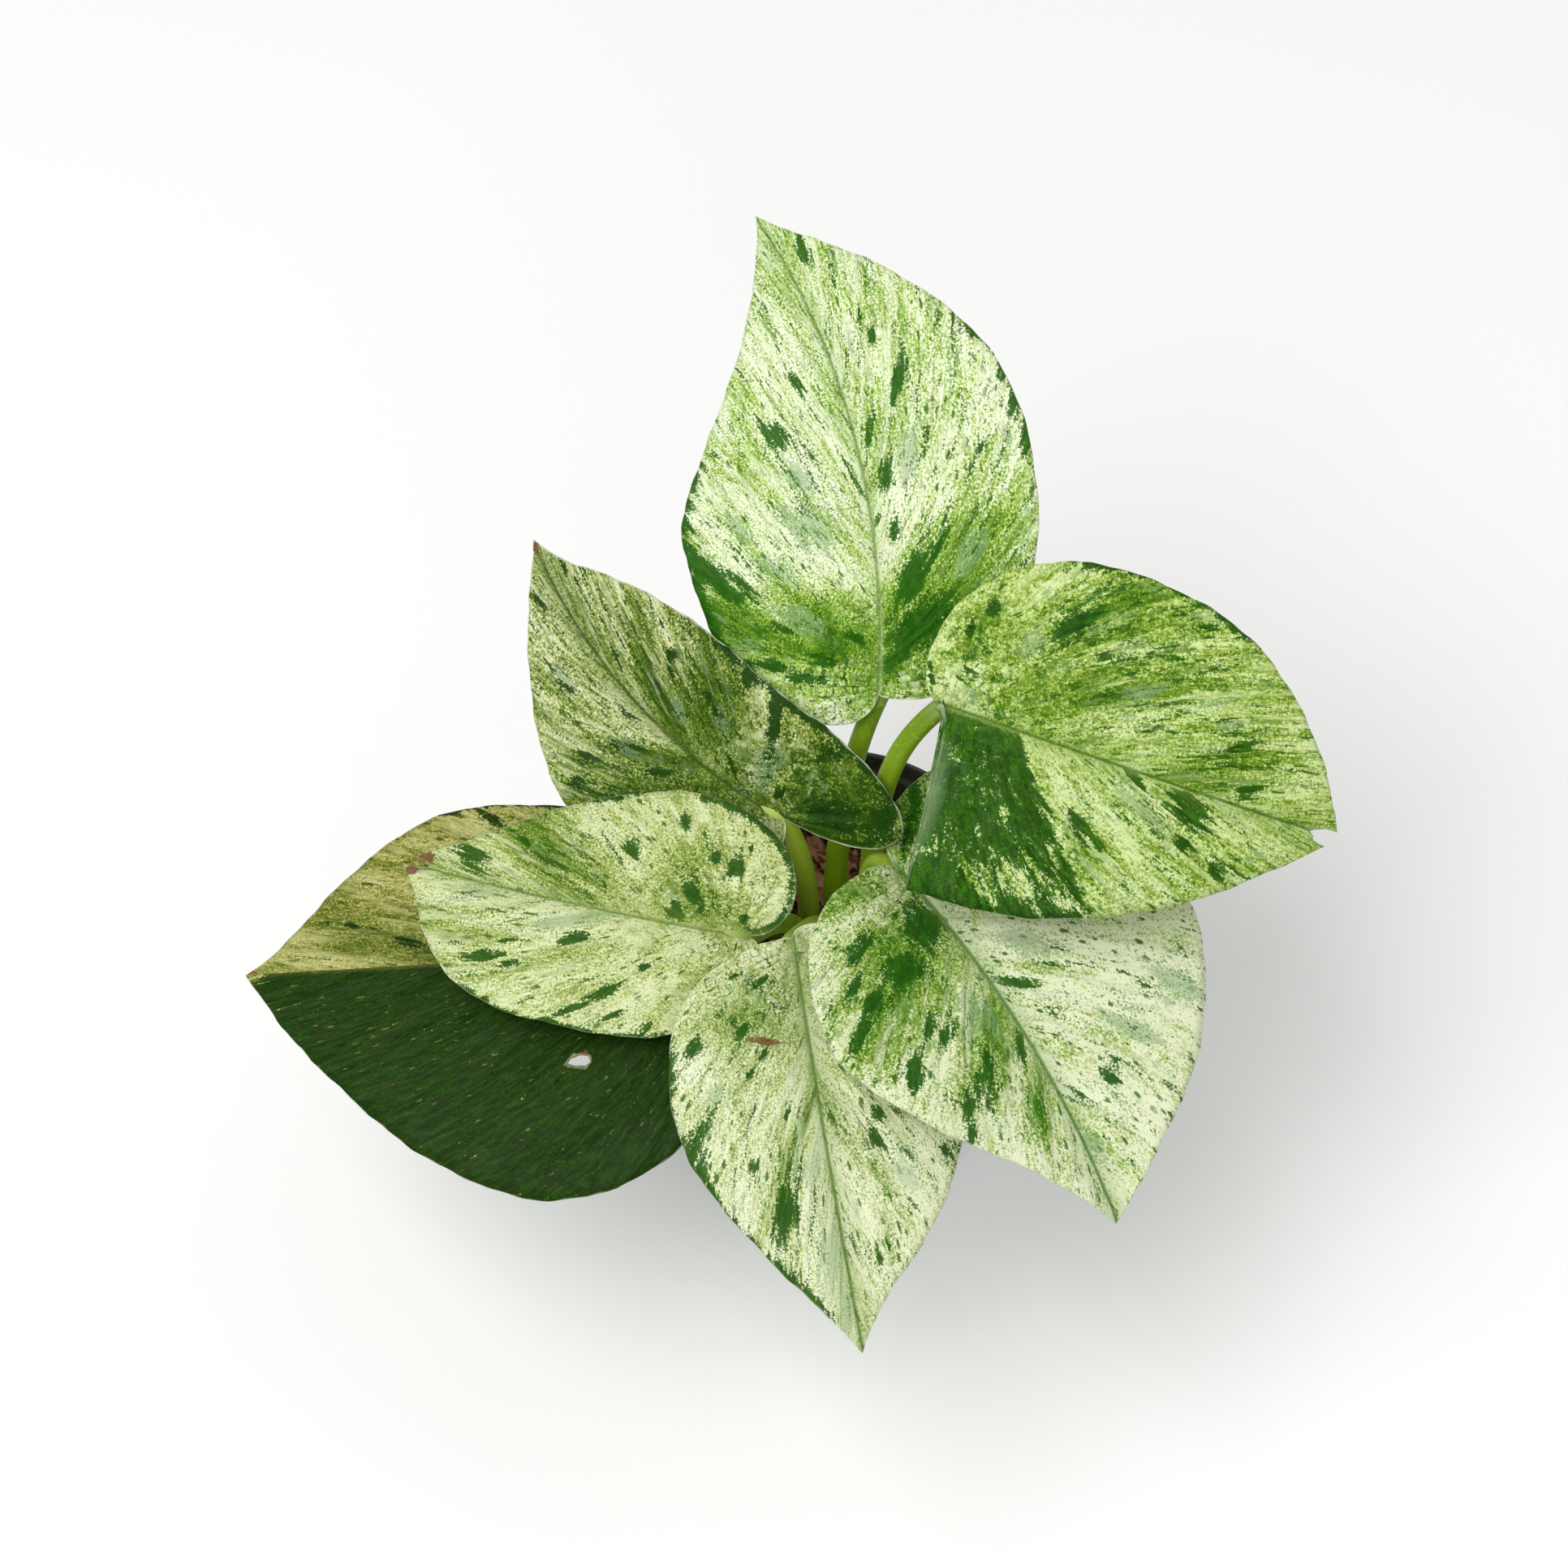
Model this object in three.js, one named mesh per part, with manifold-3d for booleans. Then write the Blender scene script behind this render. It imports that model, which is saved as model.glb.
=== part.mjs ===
// A small potted moonlight scindapsus: seven thick leaves, each a blade on its own stalk, a short
// piece of vine stem, potting mix and a thin two-tone nursery pot.
// Millimetres, +Z up. The origin is the centre of the pot's flat underside, on the surface it stands on.
// Headings are degrees from +X towards +Y, and +X is to the right of somebody who stands at -Y.

import * as THREE from "three";
import { mergeVertices } from "three/addons/utils/BufferGeometryUtils.js";
import Module from "manifold-3d";

const wasm = await Module();
wasm.setup();

// Driving dimensions of the pot and its filling
const potHeight = 76;
const rimDiameter = 63;
const baseDiameter = 54;
const wallThickness = 1.2;
const rimHeight = 5;
const rimStep = 1.1;
const cornerRadius = 1.5;
const drainHoles = 6;
const drainDiameter = 5;
const drainRingRadius = 17;
const potSides = 48;
const soilDepth = 62;
const soilRelief = 0.8;
const soilEdge = 1.5;
const soilRings = 6;
const fitGap = 0.3;

// Driving dimensions shared by all leaves
const bladeThickness = 0.7;
const marginWave = 0.5;
const marginWaves = 2.5;
const ribRows = 20;
const ribSteps = 5;
const stalkSides = 10;
const stalkSteps = 14;
const stalkTopWidth = 3.6;
const stalkFootWidth = 4.6;
const stalkFlattening = 0.88;
const stalkGroove = { depth: 0.22, width: 0.4 };
const stalkHoleDepth = 8;

// How the blade's outline and veins run: shares of its length or width, alike on all leaves
const lobeHandle = 1.55;
const sinusSpread = 0.02;
const tipHandle = 0.8;
const veinAdvance = 1.35;
const veinBend = { along: 0.3, out: 0.55 };

// One record for each leaf. base is the sinus, where the stalk meets the blade, and heading, pitch
// and roll turn the blade there. arch and sway bend the midrib down and to the left, in degrees over
// its length, and twist rolls the blade towards the tip. left and right are the halves as seen along
// the midrib from above: width, then the lobe behind the base, the widest place and two fullness
// values as shares of the length or the width, then the rise beside the midrib (fold) and the droop
// towards the margin (curl) in degrees. A stalk enters the soil at its foot and rises straight at
// first. It arrives under the sinus along heading and climb, and lift and reach are the lengths of
// the two handles that shape it between.
const leaves = [
  {
    name: "top", base: [7, 16.5, 113.5], heading: 84, pitch: 47, roll: -7,
    length: 92, arch: 24, sway: 42, twist: 2,
    left: { width: 35, lobe: 0.08, widest: 0.37, full: 0.28, tip: 0.26, fold: 10, curl: 21 },
    right: { width: 30.5, lobe: 0.01, widest: 0.42, full: 0.44, tip: 0.32, fold: 11, curl: 24 },
    stalk: { foot: [-0.5, 4.5], lift: 34, reach: 14, heading: 48, climb: 52 },
  },
  {
    name: "left", base: [-10.5, 1.5, 96.5], heading: 150, pitch: 9, roll: -35,
    length: 71, arch: 9, sway: -35, twist: -6,
    left: { width: 23, lobe: 0.05, widest: 0.32, full: 0.36, tip: 0.27, fold: 13, curl: 8 },
    right: { width: 21, lobe: 0.28, widest: 0.31, full: 0.62, tip: 0.37, fold: 20, curl: 3 },
    stalk: { foot: [-5, -0.5], lift: 18, reach: 12, heading: 165, climb: 66 },
  },
  {
    name: "right", base: [17.5, 8.5, 121.5], heading: -23, pitch: -1, roll: 26,
    length: 78, arch: 40, sway: 7, twist: 15,
    left: { width: 33, lobe: 0.07, widest: 0.33, full: 0.48, tip: 0.63, fold: 12, curl: 17 },
    right: { width: 33, lobe: -0.04, widest: 0.07, full: 0.51, tip: 0.35, fold: 9, curl: 27 },
    bites: [{ half: "right", along: 78, out: 0.4, long: 13, wide: 3.2 }],
    stalk: { foot: [6, 4], lift: 42, reach: 13, heading: 30, climb: 25 },
  },
  {
    name: "far_left", base: [-20.5, -17, 82.5], heading: 185, pitch: 1, roll: -12,
    length: 90, arch: 21, sway: -8, twist: -4,
    left: { width: 46, lobe: 0.03, widest: 0.35, full: 0.28, tip: 0.48, fold: 12, curl: 20 },
    right: { width: 31, lobe: -0.04, widest: 0.44, full: 0.58, tip: 0.3, fold: 10, curl: 26 },
    bites: [{ half: "left", along: 26.5, out: 21, long: 4, wide: 2.2 }],
    stalk: { foot: [-11, -2.5], lift: 24, reach: 9, heading: 237, climb: 5 },
  },
  {
    name: "front_left", base: [-16.5, -21, 92], heading: 171, pitch: 3, roll: -16,
    length: 67, arch: 20, sway: -12, twist: 7,
    left: { width: 23, lobe: 0.06, widest: 0.41, full: 0.8, tip: 0.4, fold: 10, curl: 25 },
    right: { width: 24.5, lobe: 0.11, widest: 0.23, full: 0.34, tip: 0.29, fold: 13, curl: 19 },
    bites: [{ half: "right", along: 66, out: 0.4, long: 10, wide: 1.8 }],
    stalk: { foot: [-6, -7], lift: 28, reach: 9, heading: 235, climb: 35 },
  },
  {
    name: "front", base: [-8.5, -23.5, 95.5], heading: -82, pitch: -11, roll: 2,
    length: 74.5, arch: 16, sway: 3, twist: -1,
    left: { width: 26.5, lobe: 0.04, widest: 0.36, full: 0.56, tip: 0.28, fold: 7, curl: 32 },
    right: { width: 25.5, lobe: 0, widest: 0.35, full: 0.39, tip: 0.34, fold: 7, curl: 22 },
    stalk: { foot: [-0.5, -8.5], lift: 28, reach: 11, heading: 244, climb: 35 },
  },
  {
    name: "front_right", base: [10.5, -9.5, 96], heading: -49, pitch: -9, roll: -11,
    length: 74.5, arch: 15, sway: -16, twist: 2,
    left: { width: 45, lobe: 0.16, widest: 0.31, full: 0.42, tip: 0.43, fold: 10, curl: 17 },
    right: { width: 34.5, lobe: 0.05, widest: 0.34, full: 0.42, tip: 0.31, fold: 12, curl: 20 },
    stalk: { foot: [4.8, -5], lift: 30, reach: 9, heading: -55, climb: -25 },
  },
];

const soilTop = wallThickness + fitGap + soilDepth;
const radians = THREE.MathUtils.degToRad;

// Helpers

function vector(values) {
  return new THREE.Vector3(...values);
}

function direction(heading, climb) {
  const flat = Math.cos(radians(climb));
  return new THREE.Vector3(
    flat * Math.cos(radians(heading)),
    flat * Math.sin(radians(heading)),
    Math.sin(radians(climb)),
  );
}

function finish(color, roughness) {
  return new THREE.MeshStandardMaterial({ color, roughness, metalness: 0 });
}

function piece(name, geometry, material) {
  const mesh = new THREE.Mesh(geometry, material);
  mesh.name = name;
  return mesh;
}

function toSolid(geometry) {
  const bare = geometry.clone();
  bare.deleteAttribute("normal");
  bare.deleteAttribute("uv");
  const merged = mergeVertices(bare, 1e-4);
  return new wasm.Manifold(new wasm.Mesh({
    numProp: 3,
    vertProperties: new Float32Array(merged.attributes.position.array),
    triVerts: new Uint32Array(merged.index.array),
  }));
}

function toGeometry(solid) {
  const mesh = solid.getMesh();
  const geometry = new THREE.BufferGeometry();
  geometry.setAttribute("position", new THREE.BufferAttribute(mesh.vertProperties, 3));
  geometry.setIndex(new THREE.BufferAttribute(mesh.triVerts, 1));
  geometry.computeVertexNormals();
  return geometry;
}

function cut(geometry, cutters) {
  let solid = toSolid(geometry);
  for (const cutter of cutters) {
    solid = solid.subtract(toSolid(cutter));
  }
  return toGeometry(solid);
}

// An upright round cutter between two heights
function uprightCylinder(radius, x, y, low, high, sides) {
  const cylinder = new THREE.CylinderGeometry(radius, radius, high - low, sides);
  cylinder.rotateX(Math.PI / 2);
  cylinder.translate(x, y, (low + high) / 2);
  return cylinder;
}

function bezier(a, b, c, d, u) {
  const v = 1 - u;
  return v * v * v * a + 3 * v * v * u * b + 3 * v * u * u * c + u * u * u * d;
}

// The blade's flat outline: q runs along one margin from the sinus to the tip
function marginPoint(length, half, q) {
  const behind = -lobeHandle * half.lobe * length;
  const wideAt = half.widest * length;
  if (q < 0.5) {
    return [
      bezier(0, behind, behind, wideAt, 2 * q),
      bezier(0, sinusSpread * half.width, half.width, half.width, 2 * q),
    ];
  }
  const fullTo = wideAt + half.full * (length - wideAt);
  return [
    bezier(wideAt, fullTo, tipHandle * length, length, 2 * q - 1),
    bezier(half.width, half.width, half.tip * half.width, 0, 2 * q - 1),
  ];
}

// A place on the flat blade: t runs from the midrib (0) to the margin (1) along an arching vein
function veinPoint(length, half, q, t) {
  const [x, y] = marginPoint(length, half, q);
  const start = length * q ** veinAdvance;
  const bendX = start + veinBend.along * (x - start);
  const bendY = veinBend.out * y;
  const s = 1 - t;
  return [s * s * start + 2 * s * t * bendX + t * t * x, 2 * s * t * bendY + t * t * y];
}

// The midrib's place and the blade's left and up directions there, at a distance from the sinus
function midribFrame(leaf, distance) {
  const ahead = direction(leaf.heading, leaf.pitch);
  const left = direction(leaf.heading + 90, 0);
  const up = ahead.clone().cross(left);
  left.applyAxisAngle(ahead, radians(leaf.roll));
  up.applyAxisAngle(ahead, radians(leaf.roll));

  const share = Math.max(distance / leaf.length, 0);
  const archTotal = radians(leaf.arch || 0.001);
  const swayTotal = radians(leaf.sway || 0.001);
  const arch = archTotal * share;
  const sway = swayTotal * share;
  const shorten = share > 0 ? (Math.sin(arch) / arch) * (Math.sin(sway) / sway) : 1;
  const forward = leaf.length * share * shorten + Math.min(distance, 0);
  const drop = ((1 - Math.cos(arch)) / archTotal) * leaf.length;
  const aside = ((1 - Math.cos(sway)) / swayTotal) * leaf.length;
  const place = vector(leaf.base);
  place.addScaledVector(ahead, forward).addScaledVector(up, -drop).addScaledVector(left, aside);

  const tangent = ahead.clone().multiplyScalar(Math.cos(arch) * Math.cos(sway));
  tangent.addScaledVector(up, -Math.sin(arch) * Math.cos(sway)).addScaledVector(left, Math.sin(sway));
  const across = ahead.clone().multiplyScalar(-Math.sin(sway)).addScaledVector(left, Math.cos(sway));
  const normal = tangent.clone().cross(across).normalize();
  across.crossVectors(normal, tangent);
  const twist = radians(leaf.twist) * share;
  across.applyAxisAngle(tangent, twist);
  normal.applyAxisAngle(tangent, twist);
  return { place, tangent, across, normal };
}

// A place on the middle surface of the bent blade; side is 1 for the left half and -1 for the right
function bladePoint(leaf, side, x, y) {
  const half = side > 0 ? leaf.left : leaf.right;
  const fold = radians(half.fold);
  const curl = radians(half.curl);
  const slope = fold - (curl * y) / half.width;
  const out = (half.width / curl) * (Math.sin(fold) - Math.sin(slope));
  const rise = (half.width / curl) * (Math.cos(slope) - Math.cos(fold));
  const edge = (y / half.width) ** 2;
  const wave = marginWave * edge * Math.sin((2 * Math.PI * marginWaves * x) / leaf.length + side);
  const { place, across, normal } = midribFrame(leaf, x);
  return place.addScaledVector(across, side * out).addScaledVector(normal, rise + wave);
}

// The middle surface as an open grid: both halves share the midrib, the sinus and the tip
function bladeSheet(leaf) {
  const points = [bladePoint(leaf, 1, 0, 0), bladePoint(leaf, 1, leaf.length, 0)];
  const faces = [];
  const rows = { 1: [], [-1]: [] };
  for (const side of [1, -1]) {
    const half = side > 0 ? leaf.left : leaf.right;
    for (let row = 1; row < ribRows; row += 1) {
      const indices = [];
      for (let step = 0; step <= ribSteps; step += 1) {
        if (step === 0 && side < 0) {
          indices.push(rows[1][row - 1][0]);
          continue;
        }
        const [x, y] = veinPoint(leaf.length, half, row / ribRows, step / ribSteps);
        indices.push(points.length);
        points.push(bladePoint(leaf, side, x, y));
      }
      rows[side].push(indices);
    }
  }
  const addFace = (side, a, b, c) => faces.push(...(side > 0 ? [a, b, c] : [a, c, b]));
  for (const side of [1, -1]) {
    const grid = rows[side];
    for (let step = 0; step < ribSteps; step += 1) {
      addFace(side, 0, grid[0][step], grid[0][step + 1]);
      addFace(side, 1, grid[ribRows - 2][step + 1], grid[ribRows - 2][step]);
      for (let row = 0; row < ribRows - 2; row += 1) {
        addFace(side, grid[row][step], grid[row + 1][step], grid[row + 1][step + 1]);
        addFace(side, grid[row][step], grid[row + 1][step + 1], grid[row][step + 1]);
      }
    }
  }
  const sheet = new THREE.BufferGeometry().setFromPoints(points);
  sheet.setIndex(faces);
  sheet.computeVertexNormals();
  return sheet;
}

// Closes a sheet into a thin solid whose two faces are split alike
function thicken(sheet, thickness) {
  const place = sheet.attributes.position;
  const normal = sheet.attributes.normal;
  const count = place.count;
  const values = [];
  for (const offset of [thickness / 2, -thickness / 2]) {
    for (let i = 0; i < count; i += 1) {
      values.push(
        place.getX(i) + offset * normal.getX(i),
        place.getY(i) + offset * normal.getY(i),
        place.getZ(i) + offset * normal.getZ(i),
      );
    }
  }
  const faces = [];
  const edges = new Map();
  const index = sheet.index.array;
  for (let i = 0; i < index.length; i += 3) {
    const corners = [index[i], index[i + 1], index[i + 2]];
    const [a, b, c] = corners;
    faces.push(a, b, c, count + a, count + c, count + b);
    for (let k = 0; k < 3; k += 1) {
      edges.set(`${corners[k]} ${corners[(k + 1) % 3]}`, [corners[k], corners[(k + 1) % 3]]);
    }
  }
  for (const [a, b] of edges.values()) {
    if (!edges.has(`${b} ${a}`)) {
      faces.push(b, a, count + a, b, count + a, count + b);
    }
  }
  const solid = new THREE.BufferGeometry();
  solid.setAttribute("position", new THREE.Float32BufferAttribute(values, 3));
  solid.setIndex(faces);
  solid.computeVertexNormals();
  return solid;
}

// An oval cutter that stands square on the blade, for a hole or a notch
function biteCutter(leaf, bite) {
  const side = bite.half === "left" ? 1 : -1;
  const middle = bladePoint(leaf, side, bite.along, bite.out);
  const { tangent, across, normal } = midribFrame(leaf, bite.along);
  const cutter = new THREE.CylinderGeometry(0.5, 0.5, 8, 14);
  cutter.scale(bite.long, 1, bite.wide);
  const turn = new THREE.Matrix4().makeBasis(tangent, normal, across.clone().negate());
  cutter.applyMatrix4(turn.setPosition(middle));
  return cutter;
}

function bladeGeometry(leaf) {
  const solid = thicken(bladeSheet(leaf), bladeThickness);
  return leaf.bites ? cut(solid, leaf.bites.map((bite) => biteCutter(leaf, bite))) : solid;
}

// A closed rod along a curve. section gives the half width and half depth at u = 0 to 1, and the
// groove runs along the side that faces the given direction.
function rod(curve, steps, sides, facing, groove, section) {
  const values = [];
  const faces = [];
  let up = facing.clone();
  for (let step = 0; step <= steps; step += 1) {
    const u = step / steps;
    const centre = curve.getPoint(u);
    const tangent = curve.getTangent(u);
    up.addScaledVector(tangent, -up.dot(tangent)).normalize();
    const aside = tangent.clone().cross(up);
    const { wide, deep } = section(u);
    for (let k = 0; k < sides; k += 1) {
      const angle = (2 * Math.PI * (k + 0.5)) / sides;
      const hollow = groove.depth * Math.exp(-((Math.cos(angle) / groove.width) ** 2));
      const dip = Math.sin(angle) > 0 ? 1 - hollow : 1;
      const point = centre.clone().addScaledVector(aside, wide * Math.cos(angle));
      point.addScaledVector(up, deep * dip * Math.sin(angle));
      values.push(point.x, point.y, point.z);
    }
  }
  for (let step = 0; step < steps; step += 1) {
    for (let k = 0; k < sides; k += 1) {
      const a = step * sides + k;
      const b = step * sides + ((k + 1) % sides);
      faces.push(a, b + sides, b, a, a + sides, b + sides);
    }
  }
  const low = values.length / 3;
  for (const u of [0, 1]) {
    const centre = curve.getPoint(u);
    values.push(centre.x, centre.y, centre.z);
  }
  const last = steps * sides;
  for (let k = 0; k < sides; k += 1) {
    const next = (k + 1) % sides;
    faces.push(low, k, next, low + 1, last + next, last + k);
  }
  const geometry = new THREE.BufferGeometry();
  geometry.setAttribute("position", new THREE.Float32BufferAttribute(values, 3));
  geometry.setIndex(faces);
  geometry.computeVertexNormals();
  return geometry;
}

// The stalk's centre line: straight up out of the soil, then over to the sinus from below
function stalkCurve(leaf) {
  const { foot, lift, reach, heading, climb } = leaf.stalk;
  const { normal } = midribFrame(leaf, 0);
  const arrive = direction(heading, climb);
  const tilt = Math.sqrt(1 - arrive.dot(normal) ** 2);
  const below = bladeThickness / 2 + fitGap + (stalkTopWidth / 2) * tilt;
  const end = vector(leaf.base).addScaledVector(normal, -below);
  const low = new THREE.Vector3(...foot, soilTop - stalkHoleDepth + fitGap);
  const lifted = new THREE.Vector3(...foot, low.z + lift);
  return new THREE.CubicBezierCurve3(low, lifted, end.clone().addScaledVector(arrive, -reach), end);
}

function stalkGeometry(leaf) {
  const facing = direction(leaf.heading, 0);
  return rod(stalkCurve(leaf), stalkSteps, stalkSides, facing, stalkGroove, (u) => {
    const wide = THREE.MathUtils.lerp(stalkFootWidth, stalkTopWidth, u) / 2;
    return { wide, deep: wide * stalkFlattening };
  });
}

// The vine stem that the stalks grew from: a short upright stub with a swollen node
const stem = { foot: [0.3, -1.7], top: [-0.4, -2.4], height: 7, width: 4.4, steps: 12 };
const node = { place: 0.72, length: 0.08, swelling: 0.5 };
const noGroove = { depth: 0, width: 1 };

function stemGeometry() {
  const low = new THREE.Vector3(...stem.foot, soilTop - stalkHoleDepth + fitGap);
  const high = new THREE.Vector3(...stem.top, soilTop + stem.height);
  const curve = new THREE.LineCurve3(low, high);
  return rod(curve, stem.steps, stalkSides, direction(-90, 0), noGroove, (u) => {
    const radius = stem.width / 2 + node.swelling * Math.exp(-(((u - node.place) / node.length) ** 2));
    return { wide: radius, deep: radius };
  });
}

// The potting mix fills the pot and is uneven on top. Each stalk stands in a plain round hole.
function soilGeometry() {
  const wallSlope = (rimDiameter / 2 - rimStep - baseDiameter / 2) / (potHeight - rimHeight);
  const low = wallThickness + fitGap;
  const inset = wallThickness + 1.5 * fitGap;
  const radiusAt = (z) => baseDiameter / 2 + wallSlope * z - inset;
  const profile = [
    new THREE.Vector2(0, low),
    new THREE.Vector2(radiusAt(low) - cornerRadius, low),
    new THREE.Vector2(radiusAt(low + cornerRadius), low + cornerRadius),
    new THREE.Vector2(radiusAt(soilTop - soilEdge), soilTop - soilEdge),
  ];
  for (let ring = soilRings; ring >= 0; ring -= 1) {
    profile.push(new THREE.Vector2(((radiusAt(soilTop) - soilEdge / 3) * ring) / soilRings, soilTop));
  }
  const soil = new THREE.LatheGeometry(profile, potSides);
  soil.rotateX(Math.PI / 2);
  const place = soil.attributes.position;
  for (let i = 0; i < place.count; i += 1) {
    if (place.getZ(i) > soilTop - 0.01) {
      const x = place.getX(i);
      const y = place.getY(i);
      const bumps = Math.sin(0.9 * x + 0.4 * y) * Math.sin(0.7 * y - 0.5 * x + 1);
      place.setZ(i, soilTop + soilRelief * bumps);
    }
  }
  const holes = leaves.map((leaf) => {
    const radius = stalkFootWidth / 2 + 2 * fitGap;
    return uprightCylinder(radius, ...leaf.stalk.foot, soilTop - stalkHoleDepth, soilTop + 5, 16);
  });
  const stemRadius = stem.width / 2 + node.swelling + fitGap;
  holes.push(uprightCylinder(stemRadius, ...stem.foot, soilTop - stalkHoleDepth, soilTop + 5, 16));
  return cut(soil, holes);
}

// The thin pot: a flat bottom, a slightly tapered wall and a stepped rim band
function potGeometry() {
  const outer = baseDiameter / 2;
  const rim = rimDiameter / 2;
  const underRim = rim - rimStep;
  const bandLow = potHeight - rimHeight;
  const profile = [
    new THREE.Vector2(0, 0),
    new THREE.Vector2(outer - cornerRadius, 0),
    new THREE.Vector2(outer - cornerRadius * 0.3, cornerRadius * 0.3),
    new THREE.Vector2(outer, cornerRadius),
    new THREE.Vector2(underRim, bandLow),
    new THREE.Vector2(rim, bandLow + 0.6),
    new THREE.Vector2(rim, potHeight - 0.5),
    new THREE.Vector2(rim - 0.4, potHeight),
    new THREE.Vector2(rim - wallThickness, potHeight),
    new THREE.Vector2(rim - wallThickness, bandLow + 1.6),
    new THREE.Vector2(underRim - wallThickness, bandLow + 0.6),
    new THREE.Vector2(outer - wallThickness, wallThickness + cornerRadius),
    new THREE.Vector2(outer - wallThickness - cornerRadius, wallThickness),
    new THREE.Vector2(0, wallThickness),
  ];
  const pot = new THREE.LatheGeometry(profile, potSides);
  pot.rotateX(Math.PI / 2);
  const drains = [];
  for (let k = 0; k < drainHoles; k += 1) {
    const angle = (2 * Math.PI * k) / drainHoles;
    const x = drainRingRadius * Math.cos(angle);
    const y = drainRingRadius * Math.sin(angle);
    drains.push(uprightCylinder(drainDiameter / 2, x, y, -1, wallThickness + 1, 20));
  }
  return cut(pot, drains);
}

// Materials
const potPlastic = finish(0xd9d9e6, 0.45);
const pottingMix = finish(0x5a3223, 0.95);
const stalkGreen = finish(0xa3b552, 0.5);
const stemGreen = finish(0x8c9a45, 0.6);
const bladeGreens = {
  top: finish(0xb7cd86, 0.45),
  left: finish(0x9db877, 0.45),
  right: finish(0x8fae5a, 0.45),
  far_left: finish(0x2c4a26, 0.45),
  front_left: finish(0xc4d39c, 0.45),
  front: finish(0xcdd8ab, 0.45),
  front_right: finish(0xb5c78f, 0.45),
};

const plant = new THREE.Group();
plant.add(piece("pot", potGeometry(), potPlastic));
plant.add(piece("potting_mix", soilGeometry(), pottingMix));
plant.add(piece("vine_stem", stemGeometry(), stemGreen));
for (const leaf of leaves) {
  plant.add(piece(`stalk_${leaf.name}`, stalkGeometry(leaf), stalkGreen));
  plant.add(piece(`blade_${leaf.name}`, bladeGeometry(leaf), bladeGreens[leaf.name]));
}

export default plant;
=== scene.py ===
# Potted moonlight scindapsus: the looks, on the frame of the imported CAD.
# Sizes are in millimetres and degrees, and they become metres where a mesh is made.

import math

import bpy
import numpy as np
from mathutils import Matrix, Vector, noise


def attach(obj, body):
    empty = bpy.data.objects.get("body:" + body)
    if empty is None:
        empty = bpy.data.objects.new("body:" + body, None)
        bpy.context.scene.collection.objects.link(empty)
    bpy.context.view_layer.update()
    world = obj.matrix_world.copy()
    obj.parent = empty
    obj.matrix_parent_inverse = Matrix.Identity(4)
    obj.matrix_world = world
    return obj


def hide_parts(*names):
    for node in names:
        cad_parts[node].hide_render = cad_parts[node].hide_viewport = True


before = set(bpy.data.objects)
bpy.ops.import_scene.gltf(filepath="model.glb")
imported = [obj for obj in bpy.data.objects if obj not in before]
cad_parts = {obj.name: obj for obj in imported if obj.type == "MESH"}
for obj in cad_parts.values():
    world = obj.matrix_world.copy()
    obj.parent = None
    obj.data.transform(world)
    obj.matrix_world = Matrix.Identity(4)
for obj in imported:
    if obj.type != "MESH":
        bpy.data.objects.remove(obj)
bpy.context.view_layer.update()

mm = 0.001
collection = bpy.context.scene.collection


# helpers

def linearColour(hexText):
    parts = [int(hexText[i:i + 2], 16) / 255 for i in (1, 3, 5)]
    return [p / 12.92 if p <= 0.04045 else ((p + 0.055) / 1.055) ** 2.4 for p in parts] + [1.0]


def addNode(tree, kind, inputs=None, **settings):
    node = tree.nodes.new(kind)
    for name, value in settings.items():
        setattr(node, name, value)
    for name, value in (inputs or {}).items():
        if isinstance(value, bpy.types.NodeSocket):
            tree.links.new(value, node.inputs[name])
        else:
            node.inputs[name].default_value = value
    return node


def calc(tree, operation, *values):
    return addNode(tree, "ShaderNodeMath", dict(enumerate(values)), operation=operation).outputs[0]


def bell(tree, ratio):
    # 1 where the ratio is 0, falling off to both sides
    square = calc(tree, "MULTIPLY", ratio, ratio)
    minus = calc(tree, "MULTIPLY", square, -1.0)
    return calc(tree, "EXPONENT", minus)


def remap(tree, value, low, high, toLow, toHigh, smooth=False):
    # takes low to toLow and high to toHigh, and goes no further at either end
    kind = "SMOOTHSTEP" if smooth else "LINEAR"
    inputs = dict(enumerate((value, low, high, toLow, toHigh)))
    return addNode(tree, "ShaderNodeMapRange", inputs, interpolation_type=kind).outputs[0]


def blend(tree, share, first, second):
    # each colour is the output of a node, or text
    first, second = (linearColour(tone) if isinstance(tone, str) else tone for tone in (first, second))
    return addNode(tree, "ShaderNodeMix", {0: share, 6: first, 7: second}, data_type="RGBA").outputs[2]


def noiseOf(tree, spot, scale, detail, roughness=0.5, distortion=0.0):
    return addNode(tree, "ShaderNodeTexNoise", {
        "Vector": spot, "Scale": scale, "Detail": detail, "Roughness": roughness,
        "Distortion": distortion}).outputs["Fac"]


def mapped(tree, spot, **inputs):
    return addNode(tree, "ShaderNodeMapping", {"Vector": spot, **inputs}).outputs[0]


def objectPlace(tree):
    return addNode(tree, "ShaderNodeTexCoord").outputs["Object"]


def readField(tree, name):
    return addNode(tree, "ShaderNodeAttribute", attribute_name=name).outputs["Fac"]


def bumped(tree, strength, distance, height, **inputs):
    # the distance is in metres
    return addNode(tree, "ShaderNodeBump", {
        "Strength": strength, "Distance": distance, "Height": height, **inputs}).outputs[0]


def store(tree, geometry, name, value, kind="FLOAT", domain="POINT"):
    return addNode(tree, "GeometryNodeStoreNamedAttribute", {
        "Geometry": geometry, "Name": name, "Value": value}, data_type=kind, domain=domain).outputs[0]


def stored(tree, name, kind="FLOAT"):
    return addNode(tree, "GeometryNodeInputNamedAttribute", {"Name": name}, data_type=kind).outputs[0]


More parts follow.
